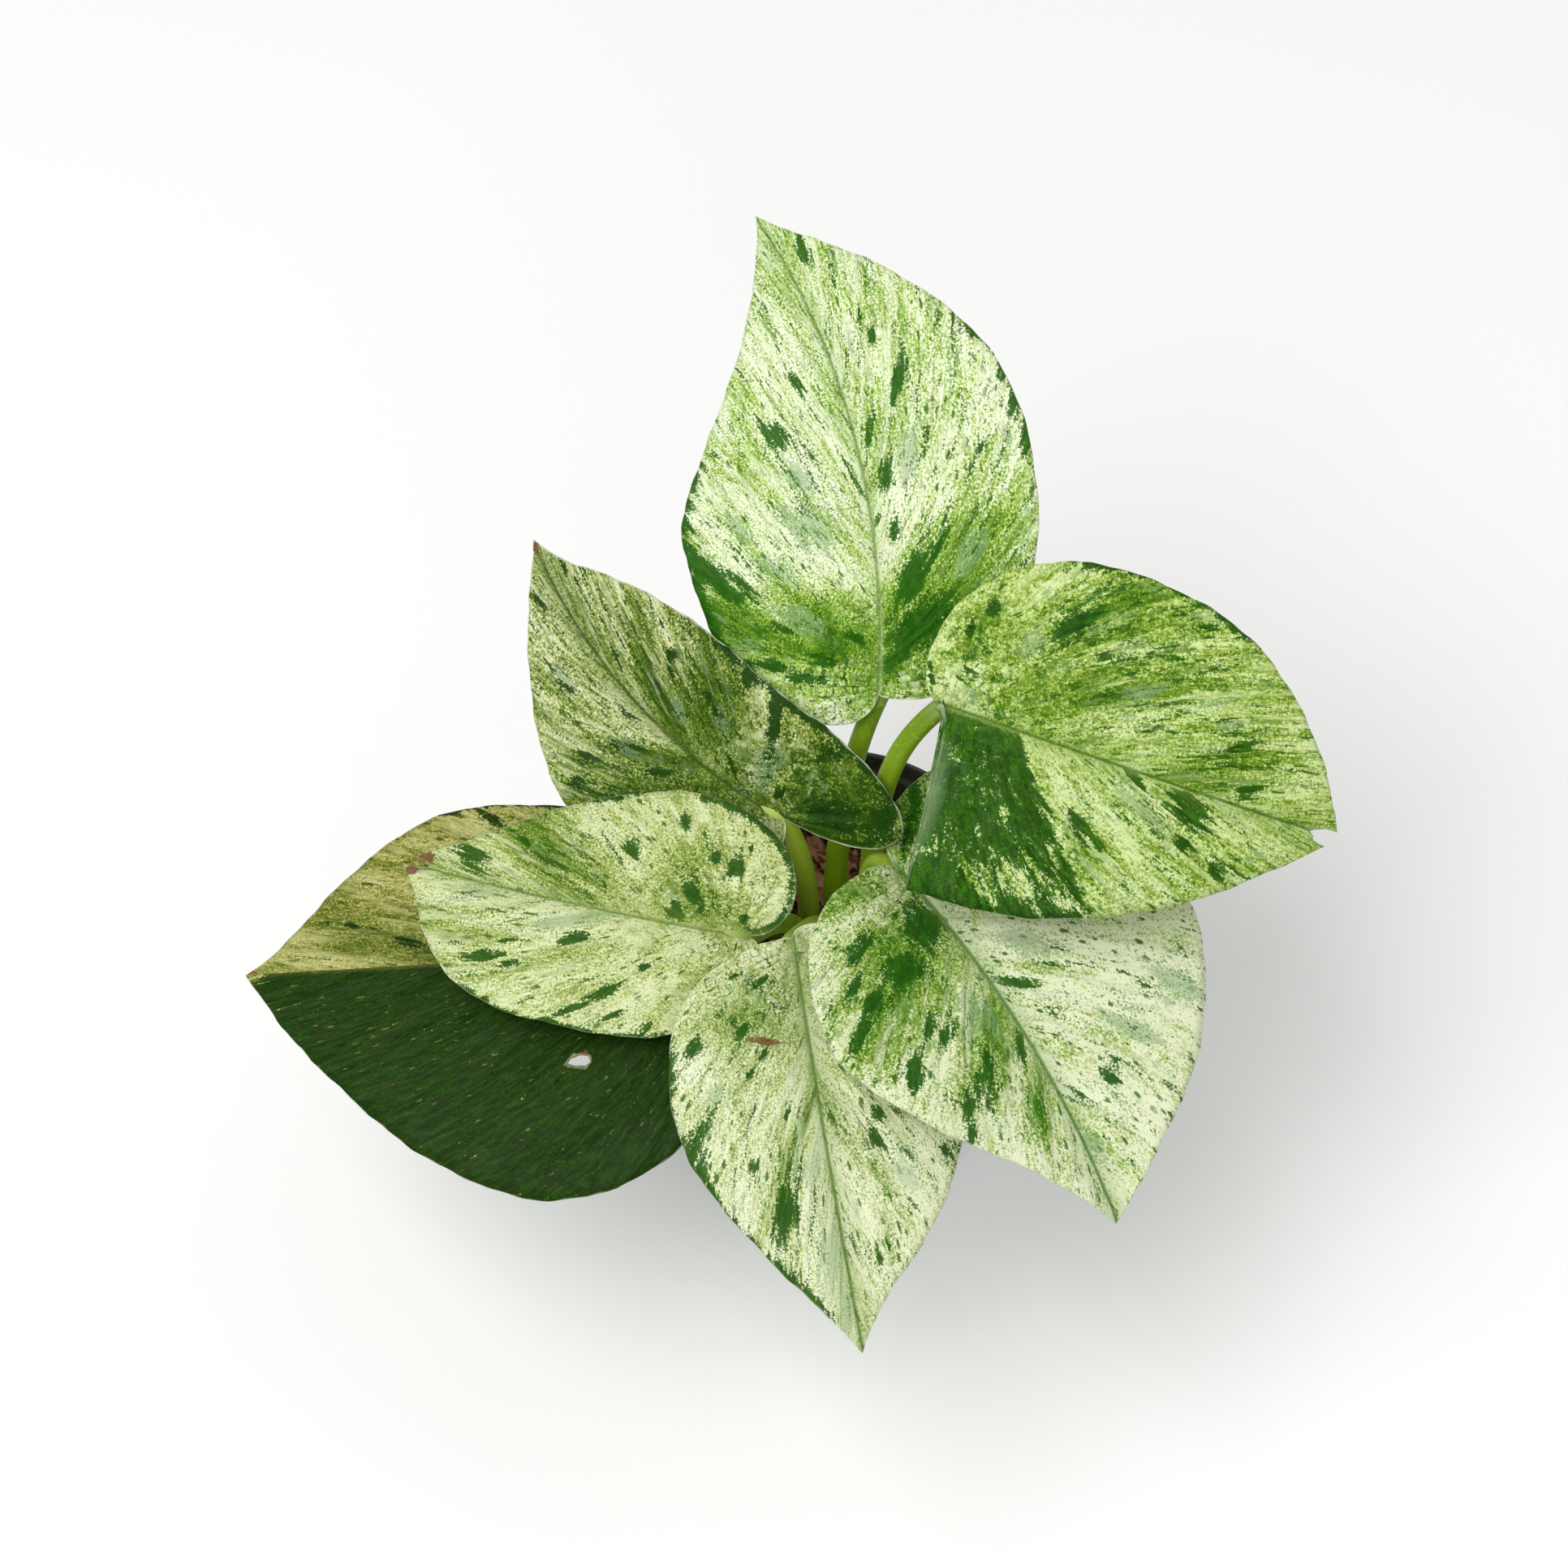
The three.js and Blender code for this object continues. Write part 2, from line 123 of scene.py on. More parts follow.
def scaledVector(tree, vector, amount):
    return addNode(tree, "ShaderNodeVectorMath", {0: vector, "Scale": amount}, operation="SCALE").outputs[0]


def moved(tree, geometry, **inputs):
    return addNode(tree, "GeometryNodeSetPosition", {"Geometry": geometry, **inputs}).outputs[0]


def startMaterial(name, roughness, specular):
    # a bare material with its shader, ready for colour and bump
    material = bpy.data.materials.new(name)
    material.use_nodes = True
    tree = material.node_tree
    shader = tree.nodes["Principled BSDF"]
    shader.inputs["Roughness"].default_value = roughness
    shader.inputs["Specular IOR Level"].default_value = specular
    return material, tree, shader


def speckledMaterial(name, roughness, specular, scale, detail, first, second):
    # two tones mixed by a noise, which is given back too
    material, tree, shader = startMaterial(name, roughness, specular)
    speckle = noiseOf(tree, objectPlace(tree), scale, detail)
    tree.links.new(blend(tree, speckle, first, second), shader.inputs["Base Color"])
    return material, tree, shader, speckle


def startTree(name, inputs):
    # a Geometry Nodes tree with one named input for each size
    kinds = {int: "NodeSocketInt", float: "NodeSocketFloat", str: "NodeSocketMaterial"}
    tree = bpy.data.node_groups.new(name, "GeometryNodeTree")
    tree.interface.new_socket("Geometry", in_out="INPUT", socket_type="NodeSocketGeometry")
    tree.interface.new_socket("Geometry", in_out="OUTPUT", socket_type="NodeSocketGeometry")
    for label, value in inputs.items():
        kind = "NodeSocketObject" if label == "Object" else kinds[type(value)]
        socket = tree.interface.new_socket(label, in_out="INPUT", socket_type=kind)
        if not isinstance(value, str):
            socket.default_value = value
    return tree, addNode(tree, "NodeGroupInput").outputs


def endTree(tree, geometry, material):
    whole = addNode(tree, "GeometryNodeRealizeInstances", {"Geometry": geometry}).outputs[0]
    dressed = addNode(tree, "GeometryNodeSetMaterial", {"Geometry": whole, "Material": material}).outputs[0]
    addNode(tree, "NodeGroupOutput", {"Geometry": dressed})


def addPiece(name, points, edges, faces):
    mesh = bpy.data.meshes.new(name)
    mesh.from_pydata([tuple(p) for p in np.asarray(points, float) * mm], edges, faces)
    piece = bpy.data.objects.new(name, mesh)
    collection.objects.link(piece)
    return piece


def addPath(name, points):
    return addPiece(name, points, [(k, k + 1) for k in range(len(points) - 1)], [])


def wearTree(piece, tree, values):
    # the inputs are set by identifier before anything is evaluated
    modifier = piece.modifiers.new(tree.name, "NODES")
    modifier.node_group = tree
    for socket in tree.interface.items_tree:
        if socket.in_out == "INPUT" and socket.name in values:
            modifier[socket.identifier] = values[socket.name]


def settle(piece):
    # swaps a piece with modifiers for the plain mesh that they make
    name = piece.name
    graph = bpy.context.evaluated_depsgraph_get()
    mesh = bpy.data.meshes.new_from_object(piece.evaluated_get(graph), depsgraph=graph)
    piece.modifiers.clear()
    bpy.data.objects.remove(piece)
    plain = bpy.data.objects.new(name, mesh)
    collection.objects.link(plain)
    return plain


def place(piece, slot, *nodes):
    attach(piece, "root")
    if nodes:
        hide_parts(*nodes)


# Camera, floor and light

view = {"place": (-9.9, -374.4, 643.9), "tilt": 35, "lens": 84.46, "sensor": 36.0, "near": 10}

camera = bpy.data.cameras.new("camera")
camera.lens = view["lens"]
camera.sensor_width = view["sensor"]
camera.clip_start = view["near"] * mm
cameraObject = bpy.data.objects.new("camera", camera)
cameraObject.location = [step * mm for step in view["place"]]
cameraObject.rotation_euler = (math.radians(view["tilt"]), 0, 0)
collection.objects.link(cameraObject)
bpy.context.scene.camera = cameraObject
bpy.context.scene.view_settings.view_transform = "Standard"

studio = {
    "floorSize": 6000, "floorTones": ("#fcfcfb", "#f8f8f7"), "world": 0.5,
    "aim": (0, 0, 90),
    "lights": [
        # place, size and power of each soft box; all look at the middle of the plant
        ((-650, -420, 1500), 1100, 17.5),
        ((1100, 300, 1200), 900, 2.6),
        ((100, -1500, 1000), 900, 2.6),
    ],
}

half = studio["floorSize"] / 2
corners = [(-half, -half, 0), (half, -half, 0), (half, half, 0), (-half, half, 0)]
floor = addPiece("floor", corners, [], [(0, 1, 2, 3)])
paper = speckledMaterial("matte white paper", 0.9, 0.2, 3.0, 2.0, *studio["floorTones"])
floor.data.materials.append(paper[0])

world = bpy.data.worlds.new("studio")
world.use_nodes = True
world.node_tree.nodes["Background"].inputs["Color"].default_value = (1.0, 1.0, 1.0, 1.0)
world.node_tree.nodes["Background"].inputs["Strength"].default_value = studio["world"]
bpy.context.scene.world = world

for number, (spot, size, power) in enumerate(studio["lights"]):
    light = bpy.data.lights.new(f"soft_box_{number}", "AREA")
    light.shape = "SQUARE"
    light.size = size * mm
    light.energy = power
    lightObject = bpy.data.objects.new(light.name, light)
    lightObject.location = Vector(spot) * mm
    aim = Vector(studio["aim"]) * mm - lightObject.location
    lightObject.rotation_euler = aim.to_track_quat("-Z", "Y").to_euler()
    collection.objects.link(lightObject)

print("stage ready")


# Leaves: where each blade sits and how it bends, as in the CAD. A bite is the half that it is in, the
# way along and out to its middle, and its length and width.

leaves = {
    "top": {
        "base": (7, 16.5, 113.5), "heading": 84, "pitch": 47, "roll": -7,
        "length": 92, "arch": 24, "sway": 42, "twist": 2,
        "left": {
            "width": 35, "lobe": 0.08, "widest": 0.37, "full": 0.28, "tip": 0.26, "fold": 10, "curl": 21},
        "right": {
            "width": 30.5, "lobe": 0.01, "widest": 0.42, "full": 0.44, "tip": 0.32, "fold": 11, "curl": 24},
        "stalk": {"foot": (-0.5, 4.5), "lift": 34, "reach": 14, "heading": 48, "climb": 52},
    },
    "left": {
        "base": (-10.5, 1.5, 96.5), "heading": 150, "pitch": 9, "roll": -35,
        "length": 71, "arch": 9, "sway": -35, "twist": -6,
        "left": {
            "width": 23, "lobe": 0.05, "widest": 0.32, "full": 0.36, "tip": 0.27, "fold": 13, "curl": 8},
        "right": {
            "width": 21, "lobe": 0.28, "widest": 0.31, "full": 0.62, "tip": 0.37, "fold": 20, "curl": 3},
        "stalk": {"foot": (-5, -0.5), "lift": 18, "reach": 12, "heading": 165, "climb": 66},
    },
    "right": {
        "base": (17.5, 8.5, 121.5), "heading": -23, "pitch": -1, "roll": 26,
        "length": 78, "arch": 40, "sway": 7, "twist": 15,
        "left": {
            "width": 33, "lobe": 0.07, "widest": 0.33, "full": 0.48, "tip": 0.63, "fold": 12, "curl": 17},
        "right": {
            "width": 33, "lobe": -0.04, "widest": 0.07, "full": 0.51, "tip": 0.35, "fold": 9, "curl": 27},
        "bites": [("right", 78, 0.4, 13, 3.2)],
        "stalk": {"foot": (6, 4), "lift": 42, "reach": 13, "heading": 30, "climb": 25},
    },
    "far_left": {
        "base": (-20.5, -17, 82.5), "heading": 185, "pitch": 1, "roll": -12,
        "length": 90, "arch": 21, "sway": -8, "twist": -4,
        "left": {
            "width": 46, "lobe": 0.03, "widest": 0.35, "full": 0.28, "tip": 0.48, "fold": 12, "curl": 20},
        "right": {
            "width": 31, "lobe": -0.04, "widest": 0.44, "full": 0.58, "tip": 0.3, "fold": 10, "curl": 26},
        "bites": [("left", 26.5, 21, 4, 2.2)],
        "stalk": {"foot": (-11, -2.5), "lift": 24, "reach": 9, "heading": 237, "climb": 5},
    },
    "front_left": {
        "base": (-16.5, -21, 92), "heading": 171, "pitch": 3, "roll": -16,
        "length": 67, "arch": 20, "sway": -12, "twist": 7,
        "left": {"width": 23, "lobe": 0.06, "widest": 0.41, "full": 0.8, "tip": 0.4, "fold": 10, "curl": 25},
        "right": {
            "width": 24.5, "lobe": 0.11, "widest": 0.23, "full": 0.34, "tip": 0.29, "fold": 13, "curl": 19},
        "bites": [("right", 66, 0.4, 10, 1.8)],
        "stalk": {"foot": (-6, -7), "lift": 28, "reach": 9, "heading": 235, "climb": 35},
    },
    "front": {
        "base": (-8.5, -23.5, 95.5), "heading": -82, "pitch": -11, "roll": 2,
        "length": 74.5, "arch": 16, "sway": 3, "twist": -1,
        "left": {
            "width": 26.5, "lobe": 0.04, "widest": 0.36, "full": 0.56, "tip": 0.28, "fold": 7, "curl": 32},
        "right": {
            "width": 25.5, "lobe": 0, "widest": 0.35, "full": 0.39, "tip": 0.34, "fold": 7, "curl": 22},
        "stalk": {"foot": (-0.5, -8.5), "lift": 28, "reach": 11, "heading": 244, "climb": 35},
    },
    "front_right": {
        "base": (10.5, -9.5, 96), "heading": -49, "pitch": -9, "roll": -11,
        "length": 74.5, "arch": 15, "sway": -16, "twist": 2,
        "left": {
            "width": 45, "lobe": 0.16, "widest": 0.31, "full": 0.42, "tip": 0.43, "fold": 10, "curl": 17},
        "right": {
            "width": 34.5, "lobe": 0.05, "widest": 0.34, "full": 0.42, "tip": 0.31, "fold": 12, "curl": 20},
        "stalk": {"foot": (4.8, -5), "lift": 30, "reach": 9, "heading": -55, "climb": -25},
    },
}

blade = {
    # how many rows and steps the grid of one half has, and how its steps crowd towards the midrib
    "rows": 110, "steps": 34, "crowding": 1.5,
    # where the side veins start on the midrib: a small even share of the way to the tip, and the rest
    # by a power of it; then how far along and out on their way to the margin they bend
    "veinEven": 0.05, "veinPower": 4.5, "veinAlong": 0.44, "veinOut": 0.53,
    # the handles of the margin's curves, as shares of the lobe, of the width and of the length
    "lobeHandle": 1.55, "sinusSpread": 0.02, "tipHandle": 0.8,
    # low waves and pleats of the sheet, small nicks in its margin, and how far the base's fan reaches
    "wave": 0.5, "waves": 2.5, "pleat": 0.24, "pleatEvery": 6.5, "nicks": 0.22, "fanReach": 30,
    # the three waves that make the nicks: height as a share, length along the margin, and start
    "nickWaves": [(0.5, 1.9, 0), (0.3, 0.83, 2), (0.6, 4.7, 0)],
    # how softly a dark strip ends and a dark sector begins, and how much a light patch clears away
    "stripFade": 4, "sectorFade": 3.0, "clearing": 0.68,
    # where the pattern starts along the blade, how far its end points stand off, and its right half
    "patternStart": 10, "patternEnd": 2, "rightOffset": 137.0,
    "skin": {
        "Thickness": 0.7, "Margin Thickness": 0.34, "Rounding": 1.6, "Groove Depth": 0.3,
        "Groove Width": 0.5, "Ridge Height": 1.0, "Ridge Width": 1.1},
}

# Colours and patches of each blade. The ground's six tones run from cream to deep green, dark and
# darkLight colour the blotches, darkLight in lighter streaks that are partly the leaf's own mottle and
# partly painted sheen, and grey colours the grey patches and the painted sheen. Lean slants the
# pattern, and shift makes the whole leaf greener, or paler below 0. darkShare adds blotches, grow
# widens the dark patches, and greenGain says how much the green patches tell. The crease shadow and
# valley shade, rim and band are the strengths of the thin line of painted shadow in the midrib's
# crease, the painted shade in green beside the midrib, the pale margin and the pale midrib.
# A patch is the way along and out from the sinus, and its length and width; lightTurn and scarTurn
# turn their patches off the veins. A strip runs along the margin from one place to another and has a
# width. A sector is dark from the sinus to the side vein through a place, by its depth. Light patches
# clear the dark away, and scars are dry.
looks = {
    "top": {
        "ground": ["#e9f0d0", "#cfdf9e", "#adc766", "#8cb03c", "#68941c", "#406e06"],
        "dark": "#175203", "darkLight": "#3a7012", "grey": "#7ca070", "lean": {"left": 0.3, "right": -0.05},
        "shift": -0.07, "darkShare": 0.1, "grow": 1.1, "greenGain": 0.54,
        "creaseShadow": 0.55, "valleyShade": 0.18, "rim": 0.35,
        "darkPatches": {
            "left": [
                (26, 33, 22, 6), (19, 26, 8, 4), (4, 20, 10, 3), (52, 14, 8, 3), (59, 7, 5, 2),
                (6, 10, 7, 2.4), (12, 18, 6, 2), (2, 14, 8, 2.2), (10, 4, 6, 1.6)],
            "right": [
                (54, 11, 9, 2.7), (62, 9, 3, 1.8), (20, 6, 16, 5), (7, 3, 11, 3.5), (29, 4, 5, 2),
                (81, 4, 6, 2), (40, 22, 4, 1.5), (12, 7, 16, 7), (38, 4, 7, 2), (47, 3, 6, 1.6),
                (25, 11, 8, 2.5)],
        },
        # the green patches near the base, 10 and 14 along, are partly the leaf's green and partly painted
        # shade
        "greenPatches": {"left": [(12, 26, 44, 18), (10, 8, 34, 20)], "right": [(14, 10, 44, 24)]},
        "greyPatches": {
            "left": [
                (32, 11, 14, 8), (24, 18, 10, 5), (42, 12, 9, 5), (14, 14, 10, 5), (34, 24, 11, 5),
                (8, 24, 8, 4)],
            "right": [(41, 9, 12, 5), (24, 17, 9, 4)],
        },
        "strips": {"left": [(8, 52, 1.9)], "right": [(34, 60, 1.7)]},
        "scars": {"left": [(93, 0, 5, 2)], "right": [(93, 0, 5, 2)]},
    },
    "left": {
        "ground": ["#d6dcae", "#b0bc74", "#8b9e48", "#6a8228", "#486612", "#2a4a04"],
        "dark": "#103402", "darkLight": "#2a520a", "grey": "#76906f", "lean": {"left": 0.2, "right": 0.2},
        "shift": 0.01, "darkShare": 0.11, "grow": 1.35, "greenGain": 0.5,
        "creaseShadow": 0.7, "valleyShade": 0.4, "rim": 0.8, "band": 0.2,
        "darkPatches": {
            "left": [
                (44, 8, 4.2, 1.4), (60, 4, 2.8, 0.9), (28, 6, 3.2, 1.9), (31, 8, 1.9, 1.4),
                (33, 14, 4.2, 1.9), (31, 18, 2.3, 1.9), (22, 6, 4.2, 1.4), (33, 3, 4.2, 0.9)],
            "right": [
                (59, 5, 1.9, 0.8), (63, 4, 2.1, 0.9), (43, 3, 4.6, 1.2), (35, 12, 2.8, 1.6),
                (33, 10, 2.1, 0.9), (20, 19, 6, 1.9), (12, 18, 2.8, 1.2), (9, 14, 8.8, 2.3),
                (24, 11, 2.3, 1.9), (21, 10, 1.9, 1.2), (12, 3, 5.1, 1.2), (2, 4, 1.9, 1.4),
                (-9.3, 5.8, 13, 6), (-16, 9, 6, 8), (-3, 16, 5, 1.8)],
        },
        # the narrow green patches along the midrib, 1.5 and 2 out, are painted shade in the fold by the
        # midrib
        "greenPatches": {
            "left": [(20, 12, 36, 18), (20, 1.5, 36, 5)],
            "right": [(-9, 9, 34, 34), (24, 12, 34, 14), (26, 2, 56, 6)],
        },
        "greyPatches": {
            "left": [(30, 7, 6, 4), (46, 7, 7, 3)],
            "right": [(7, 8, 9, 7), (19, 9, 7, 4), (27, 5, 7, 3)],
        },
        "strips": {"right": [(-19, 30, 1.5)]},
        "scars": {"left": [(70.5, 0, 6, 2.4)], "right": [(70.5, 0, 6, 2.4)]},
    },
    "right": {
        "ground": ["#d4e4a4", "#b6cc70", "#96b244", "#78982a", "#567e14", "#346604"],
        "dark": "#0e3c00", "darkLight": "#3c780c", "grey": "#86a072", "lean": {"left": 0.3, "right": 0.25},
        "shift": -0.11, "darkShare": 0.09, "grow": 1.15, "greenGain": 0.26,
        "creaseShadow": 0.75, "valleyShade": 0.25, "rim": 0.15,
        "darkPatches": {
            "left": [
                (3, 19, 3.2, 2.4), (1, 14, 3.2, 2.1), (-4, 6, 3.2, 1.3), (-3, 4, 2.6, 1.1),
                (18, 21, 12, 4.7), (36, 30, 5.8, 1.8), (40, 28, 3.7, 1.6), (36, 21, 2.1, 1.3),
                (52, 10, 5.3, 1.8), (57, 3, 4.7, 2.1)],
            "right": [
                (37, 1, 4.2, 2.1), (47, 3, 10, 5.5), (31, 12, 6.8, 3.2), (34, 14, 3.2, 2.1),
                (49, 9, 3.7, 3.2), (56, 12, 4.7, 2.4)],
        },
        "greenPatches": {"left": [(24, 14, 50, 26), (52, 8, 24, 12), (22, 25, 40, 14), (2, 14, 16, 8)]},
        "greyPatches": {
            "left": [(33, 13, 9.5, 2.6), (49, 13, 8, 4), (32, 8, 4.2, 2.6), (12, 15, 6, 4)],
            "right": [(40, 6, 14, 5)],
        },
        "lightPatches": {"right": [(17.5, 14, 4, 3), (24, 25.5, 26, 8), (7, 25, 2.4, 4)]},
        "lightTurn": -55,
        # painted sheen: a grey highlight along the lobe's edge by the sinus, where it curls under
        "sheen": {"right": [(4.2, 17, 26, 5.5)]},
        "strips": {"left": [(14, 50, 0.7)]},
        "sector": ("right", 25, 13), "sectorDepth": 0.56,
        "scars": {"left": [(76.5, 1.4, 4, 1.2)], "right": [(76, 2.2, 4, 1.4)]},
    },
    "far_left": {
        "ground": ["#c3c180", "#adac62", "#98994c", "#808639", "#687426", "#48580e"],
        "dark": "#082602", "darkLight": "#225008", "grey": "#87935e", "lean": {"left": 0.35, "right": 0.1},
        "shift": 0.04, "darkShare": -0.02, "grow": 1.1, "greenGain": 0.38,
        "creaseShadow": 0.0, "valleyShade": 0.0, "rim": 0.3,
        "darkPatches": {
            "right": [
                (43, 28, 6.6, 2), (69, 8, 4, 1.3), (58, 4, 7.3, 2), (71, 12, 2.6, 0.8), (74, 9, 2.6, 0.9),
                (56, 11, 3.3, 0.8)],
        },
        "greenPatches": {"right": [(60, 4, 44, 10)]},
        "strips": {"right": [(24, 56, 0.9)]},
        "sector": ("left", 90, 0), "sectorDepth": 1.05,
        "scars": {"left": [(26.5, 21, 5.2, 3.0), (89.5, 0, 5, 2.4)], "right": [(89.5, 0, 5, 2.4)]},
    },
    "front_left": {
        "ground": ["#d9e1b2", "#c1cd88", "#a6b464", "#8ca048", "#6a842c", "#44680e"],
        "dark": "#1a4806", "darkLight": "#3a6a14", "grey": "#8ca880", "lean": {"left": 0.0, "right": 0.15},
        "shift": -0.07, "darkShare": 0.05, "grow": 1.15, "greenGain": 0.38,
        "creaseShadow": 0.6, "valleyShade": 0.25, "rim": 0.35,
        "darkPatches": {
            "left": [
                (30, 7, 7.3, 2.3), (41, 10, 4, 1), (44, 14, 5.9, 2), (39, 14, 4, 1.7), (22, 15, 8.6, 2.3),
                (16, 9, 3.3, 1.3), (26, 19, 5.9, 1.7), (14, 20, 5.3, 1.3), (20, 19, 3.3, 0.8)],
            "right": [
                (53, 4, 9.9, 3.6), (44, 9, 4, 2), (39, 8, 2, 1.7), (24, 12, 5.3, 3), (15, 19, 4, 2),
                (2, 16, 3.3, 1), (8, 13, 2.6, 1.7), (4, 12, 4, 3.3), (11, 6, 7.9, 2.6), (13, 2, 4, 3),
                (1, 3, 2.3, 1.8)],
        },
        "greenPatches": {"right": [(40, 8, 50, 16), (10, 6, 24, 16)]},
        "greyPatches": {"left": [(50, 3, 9, 3), (32, 4, 20, 4)]},
        "strips": {"left": [(10, 48, 0.7)], "right": [(-8, 14, 1.5), (24, 36, 1.1)]},
        "scars": {"left": [(64, 1.5, 4, 2.5)], "right": [(63, 1.5, 6, 5), (47, 2, 1.6, 1)]},
    },
    "front": {
        "ground": ["#e4e9c6", "#cfd8a4", "#b7c482", "#99ac5e", "#728c36", "#466c14"],
        "dark": "#184a06", "darkLight": "#386814", "grey": "#98b38a", "lean": {"left": -0.1, "right": 0.1},
        "shift": -0.15, "darkShare": 0.05, "grow": 1.2, "greenGain": 0.34,
        "creaseShadow": 0.8, "valleyShade": 0.35, "rim": 0.35,
        "darkPatches": {
            "left": [
                (38, 9, 3.7, 2.1), (34, 10, 3.2, 1.8), (33, 2, 2.6, 1.1), (42, 21, 2.4, 1.6),
                (59, 6, 3.7, 1.1), (57, 8, 2.6, 1.1)],
            "right": [
                (16, 11, 3.2, 1.6), (18, 20, 4.2, 2.1), (21, 8, 3.7, 1.8), (24, 11, 3.2, 1.1),
                (32, 21, 7.9, 2.6), (36, 23, 4.2, 2.4), (40, 22, 6.3, 2.6), (40, 13, 2.4, 1.6),
                (47, 8, 12.6, 3.4), (32, 6, 2.1, 1.1), (8, 7, 3.2, 1.3), (6, 11, 3.2, 1.1)],
        },
        # the narrow green patches along the midrib, 1 out, are painted shade in the fold by the midrib
        "greenPatches": {
            "left": [(10, 6, 22, 10), (30, 1, 56, 4)],
            "right": [(14, 8, 26, 22), (30, 1, 56, 4)],
        },
        "greyPatches": {
            "left": [(45, 13, 7.9, 4.2)],
            "right": [(27, 17, 5.8, 3.2), (42, 3, 9, 4.5), (58, 2, 18, 6), (67, 1, 8, 5)],
        },
        "strips": {"right": [(16, 68, 1.0)]},
        "scars": {"left": [(74, 0, 4, 2)], "right": [(18.5, 7.8, 10, 1.4), (74, 0, 4, 2)]},
        "scarTurn": 62,
    },
    "front_right": {
        "ground": ["#e4eac6", "#cbd79c", "#abc06a", "#85a440", "#588218", "#306806"],
        "dark": "#144a04", "darkLight": "#336c10", "grey": "#82a376", "lean": {"left": -0.1, "right": 0.0},
        "shift": -0.18, "darkShare": 0.0, "grow": 1.15, "greenGain": 0.68,
        "creaseShadow": 0.8, "valleyShade": 0.35, "rim": 0.35,
        "darkPatches": {
            "left": [
                (29, 4, 9, 2), (51, 10, 4, 2), (57, 20, 7, 2.5), (-9, 12, 10, 3), (-5, 7, 9, 2.6),
                (-10.5, 18, 7, 2.8), (-3, 4, 6, 1.6)],
            "right": [
                (12, 5, 12, 10), (17, 14, 10, 9), (32, 15, 9, 3.3), (35, 24, 9, 4), (42, 12, 11, 4),
                (46, 18, 6, 4), (51, 20, 6, 2), (20, 23, 7, 5), (16, 25, 8, 2), (24, 28, 8, 3),
                (39, 2, 6, 2), (10, 19, 10, 3), (29, 16, 7, 3)],
        },
        # the green patches at and behind the base, -7 and -1 along, are partly the leaf's green and partly
        # painted shade
        "greenPatches": {
            "left": [(-7, 11, 26, 22), (4, 4, 16, 5)],
            "right": [(18, 14, 40, 30), (36, 8, 30, 14), (50, 5, 18, 6), (-1, 13, 22, 14)],
        },
        "greyPatches": {
            "left": [(42, 33, 12, 6), (45, 19, 12, 6), (23, 10, 12, 6), (60, 1, 14, 3)],
            "right": [(31, 7, 12, 8)],
        },
        "scars": {"left": [(74.5, 0, 2.4, 1.4)]},
    },
}

halfSigns = {"left": 1, "right": -1}
# what each field says well outside its patches
outsideLevels = {"dark": -0.36, "green": -0.3, "grey": -0.3, "scar": -0.5, "sheen": -0.5}
# 0 on the midrib and 1 on the margin, for each step of the grid
outShare = (np.arange(blade["steps"] + 1) / blade["steps"])[None, :]


def direction(heading, climb):
    h, c = math.radians(heading), math.radians(climb)
    return np.array([math.cos(c) * math.cos(h), math.cos(c) * math.sin(h), math.sin(c)])


def bezier(a, b, c, d, u):
    v = 1 - u
    return v**3 * a + 3 * v * v * u * b + 3 * v * u * u * c + u**3 * d


def marginLine(length, side, q):
    # the flat outline of one half: q runs from the sinus to the tip
    behind = -blade["lobeHandle"] * side["lobe"] * length
    wide, width = side["widest"] * length, side["width"]
    full = wide + side["full"] * (length - wide)
    u, v = np.clip(2 * q, 0, 1), np.clip(2 * q - 1, 0, 1)
    lobeX = bezier(0, behind, behind, wide, u)
    tipX = bezier(wide, full, blade["tipHandle"] * length, length, v)
    lobeY = bezier(0, blade["sinusSpread"] * width, width, width, u)
    tipY = bezier(width, width, side["tip"] * width, 0, v)
    return np.where(q < 0.5, lobeX, tipX), np.where(q < 0.5, lobeY, tipY)


def veinGrid(length, side):
    # rows of the grid follow the side veins, which leave the midrib early and arch along the blade
    q = (np.arange(1, blade["rows"]) / blade["rows"])[:, None]
    t = outShare ** blade["crowding"]
    edgeX, edgeY = marginLine(length, side, q)
    even = blade["veinEven"]
    start = length * (even * q + (1 - even) * q ** blade["veinPower"])
    bendX = start + blade["veinAlong"] * (edgeX - start)
    bendY = blade["veinOut"] * edgeY
    s = 1 - t
    return s * s * start + 2 * s * t * bendX + t * t * edgeX, 2 * s * t * bendY + t * t * edgeY


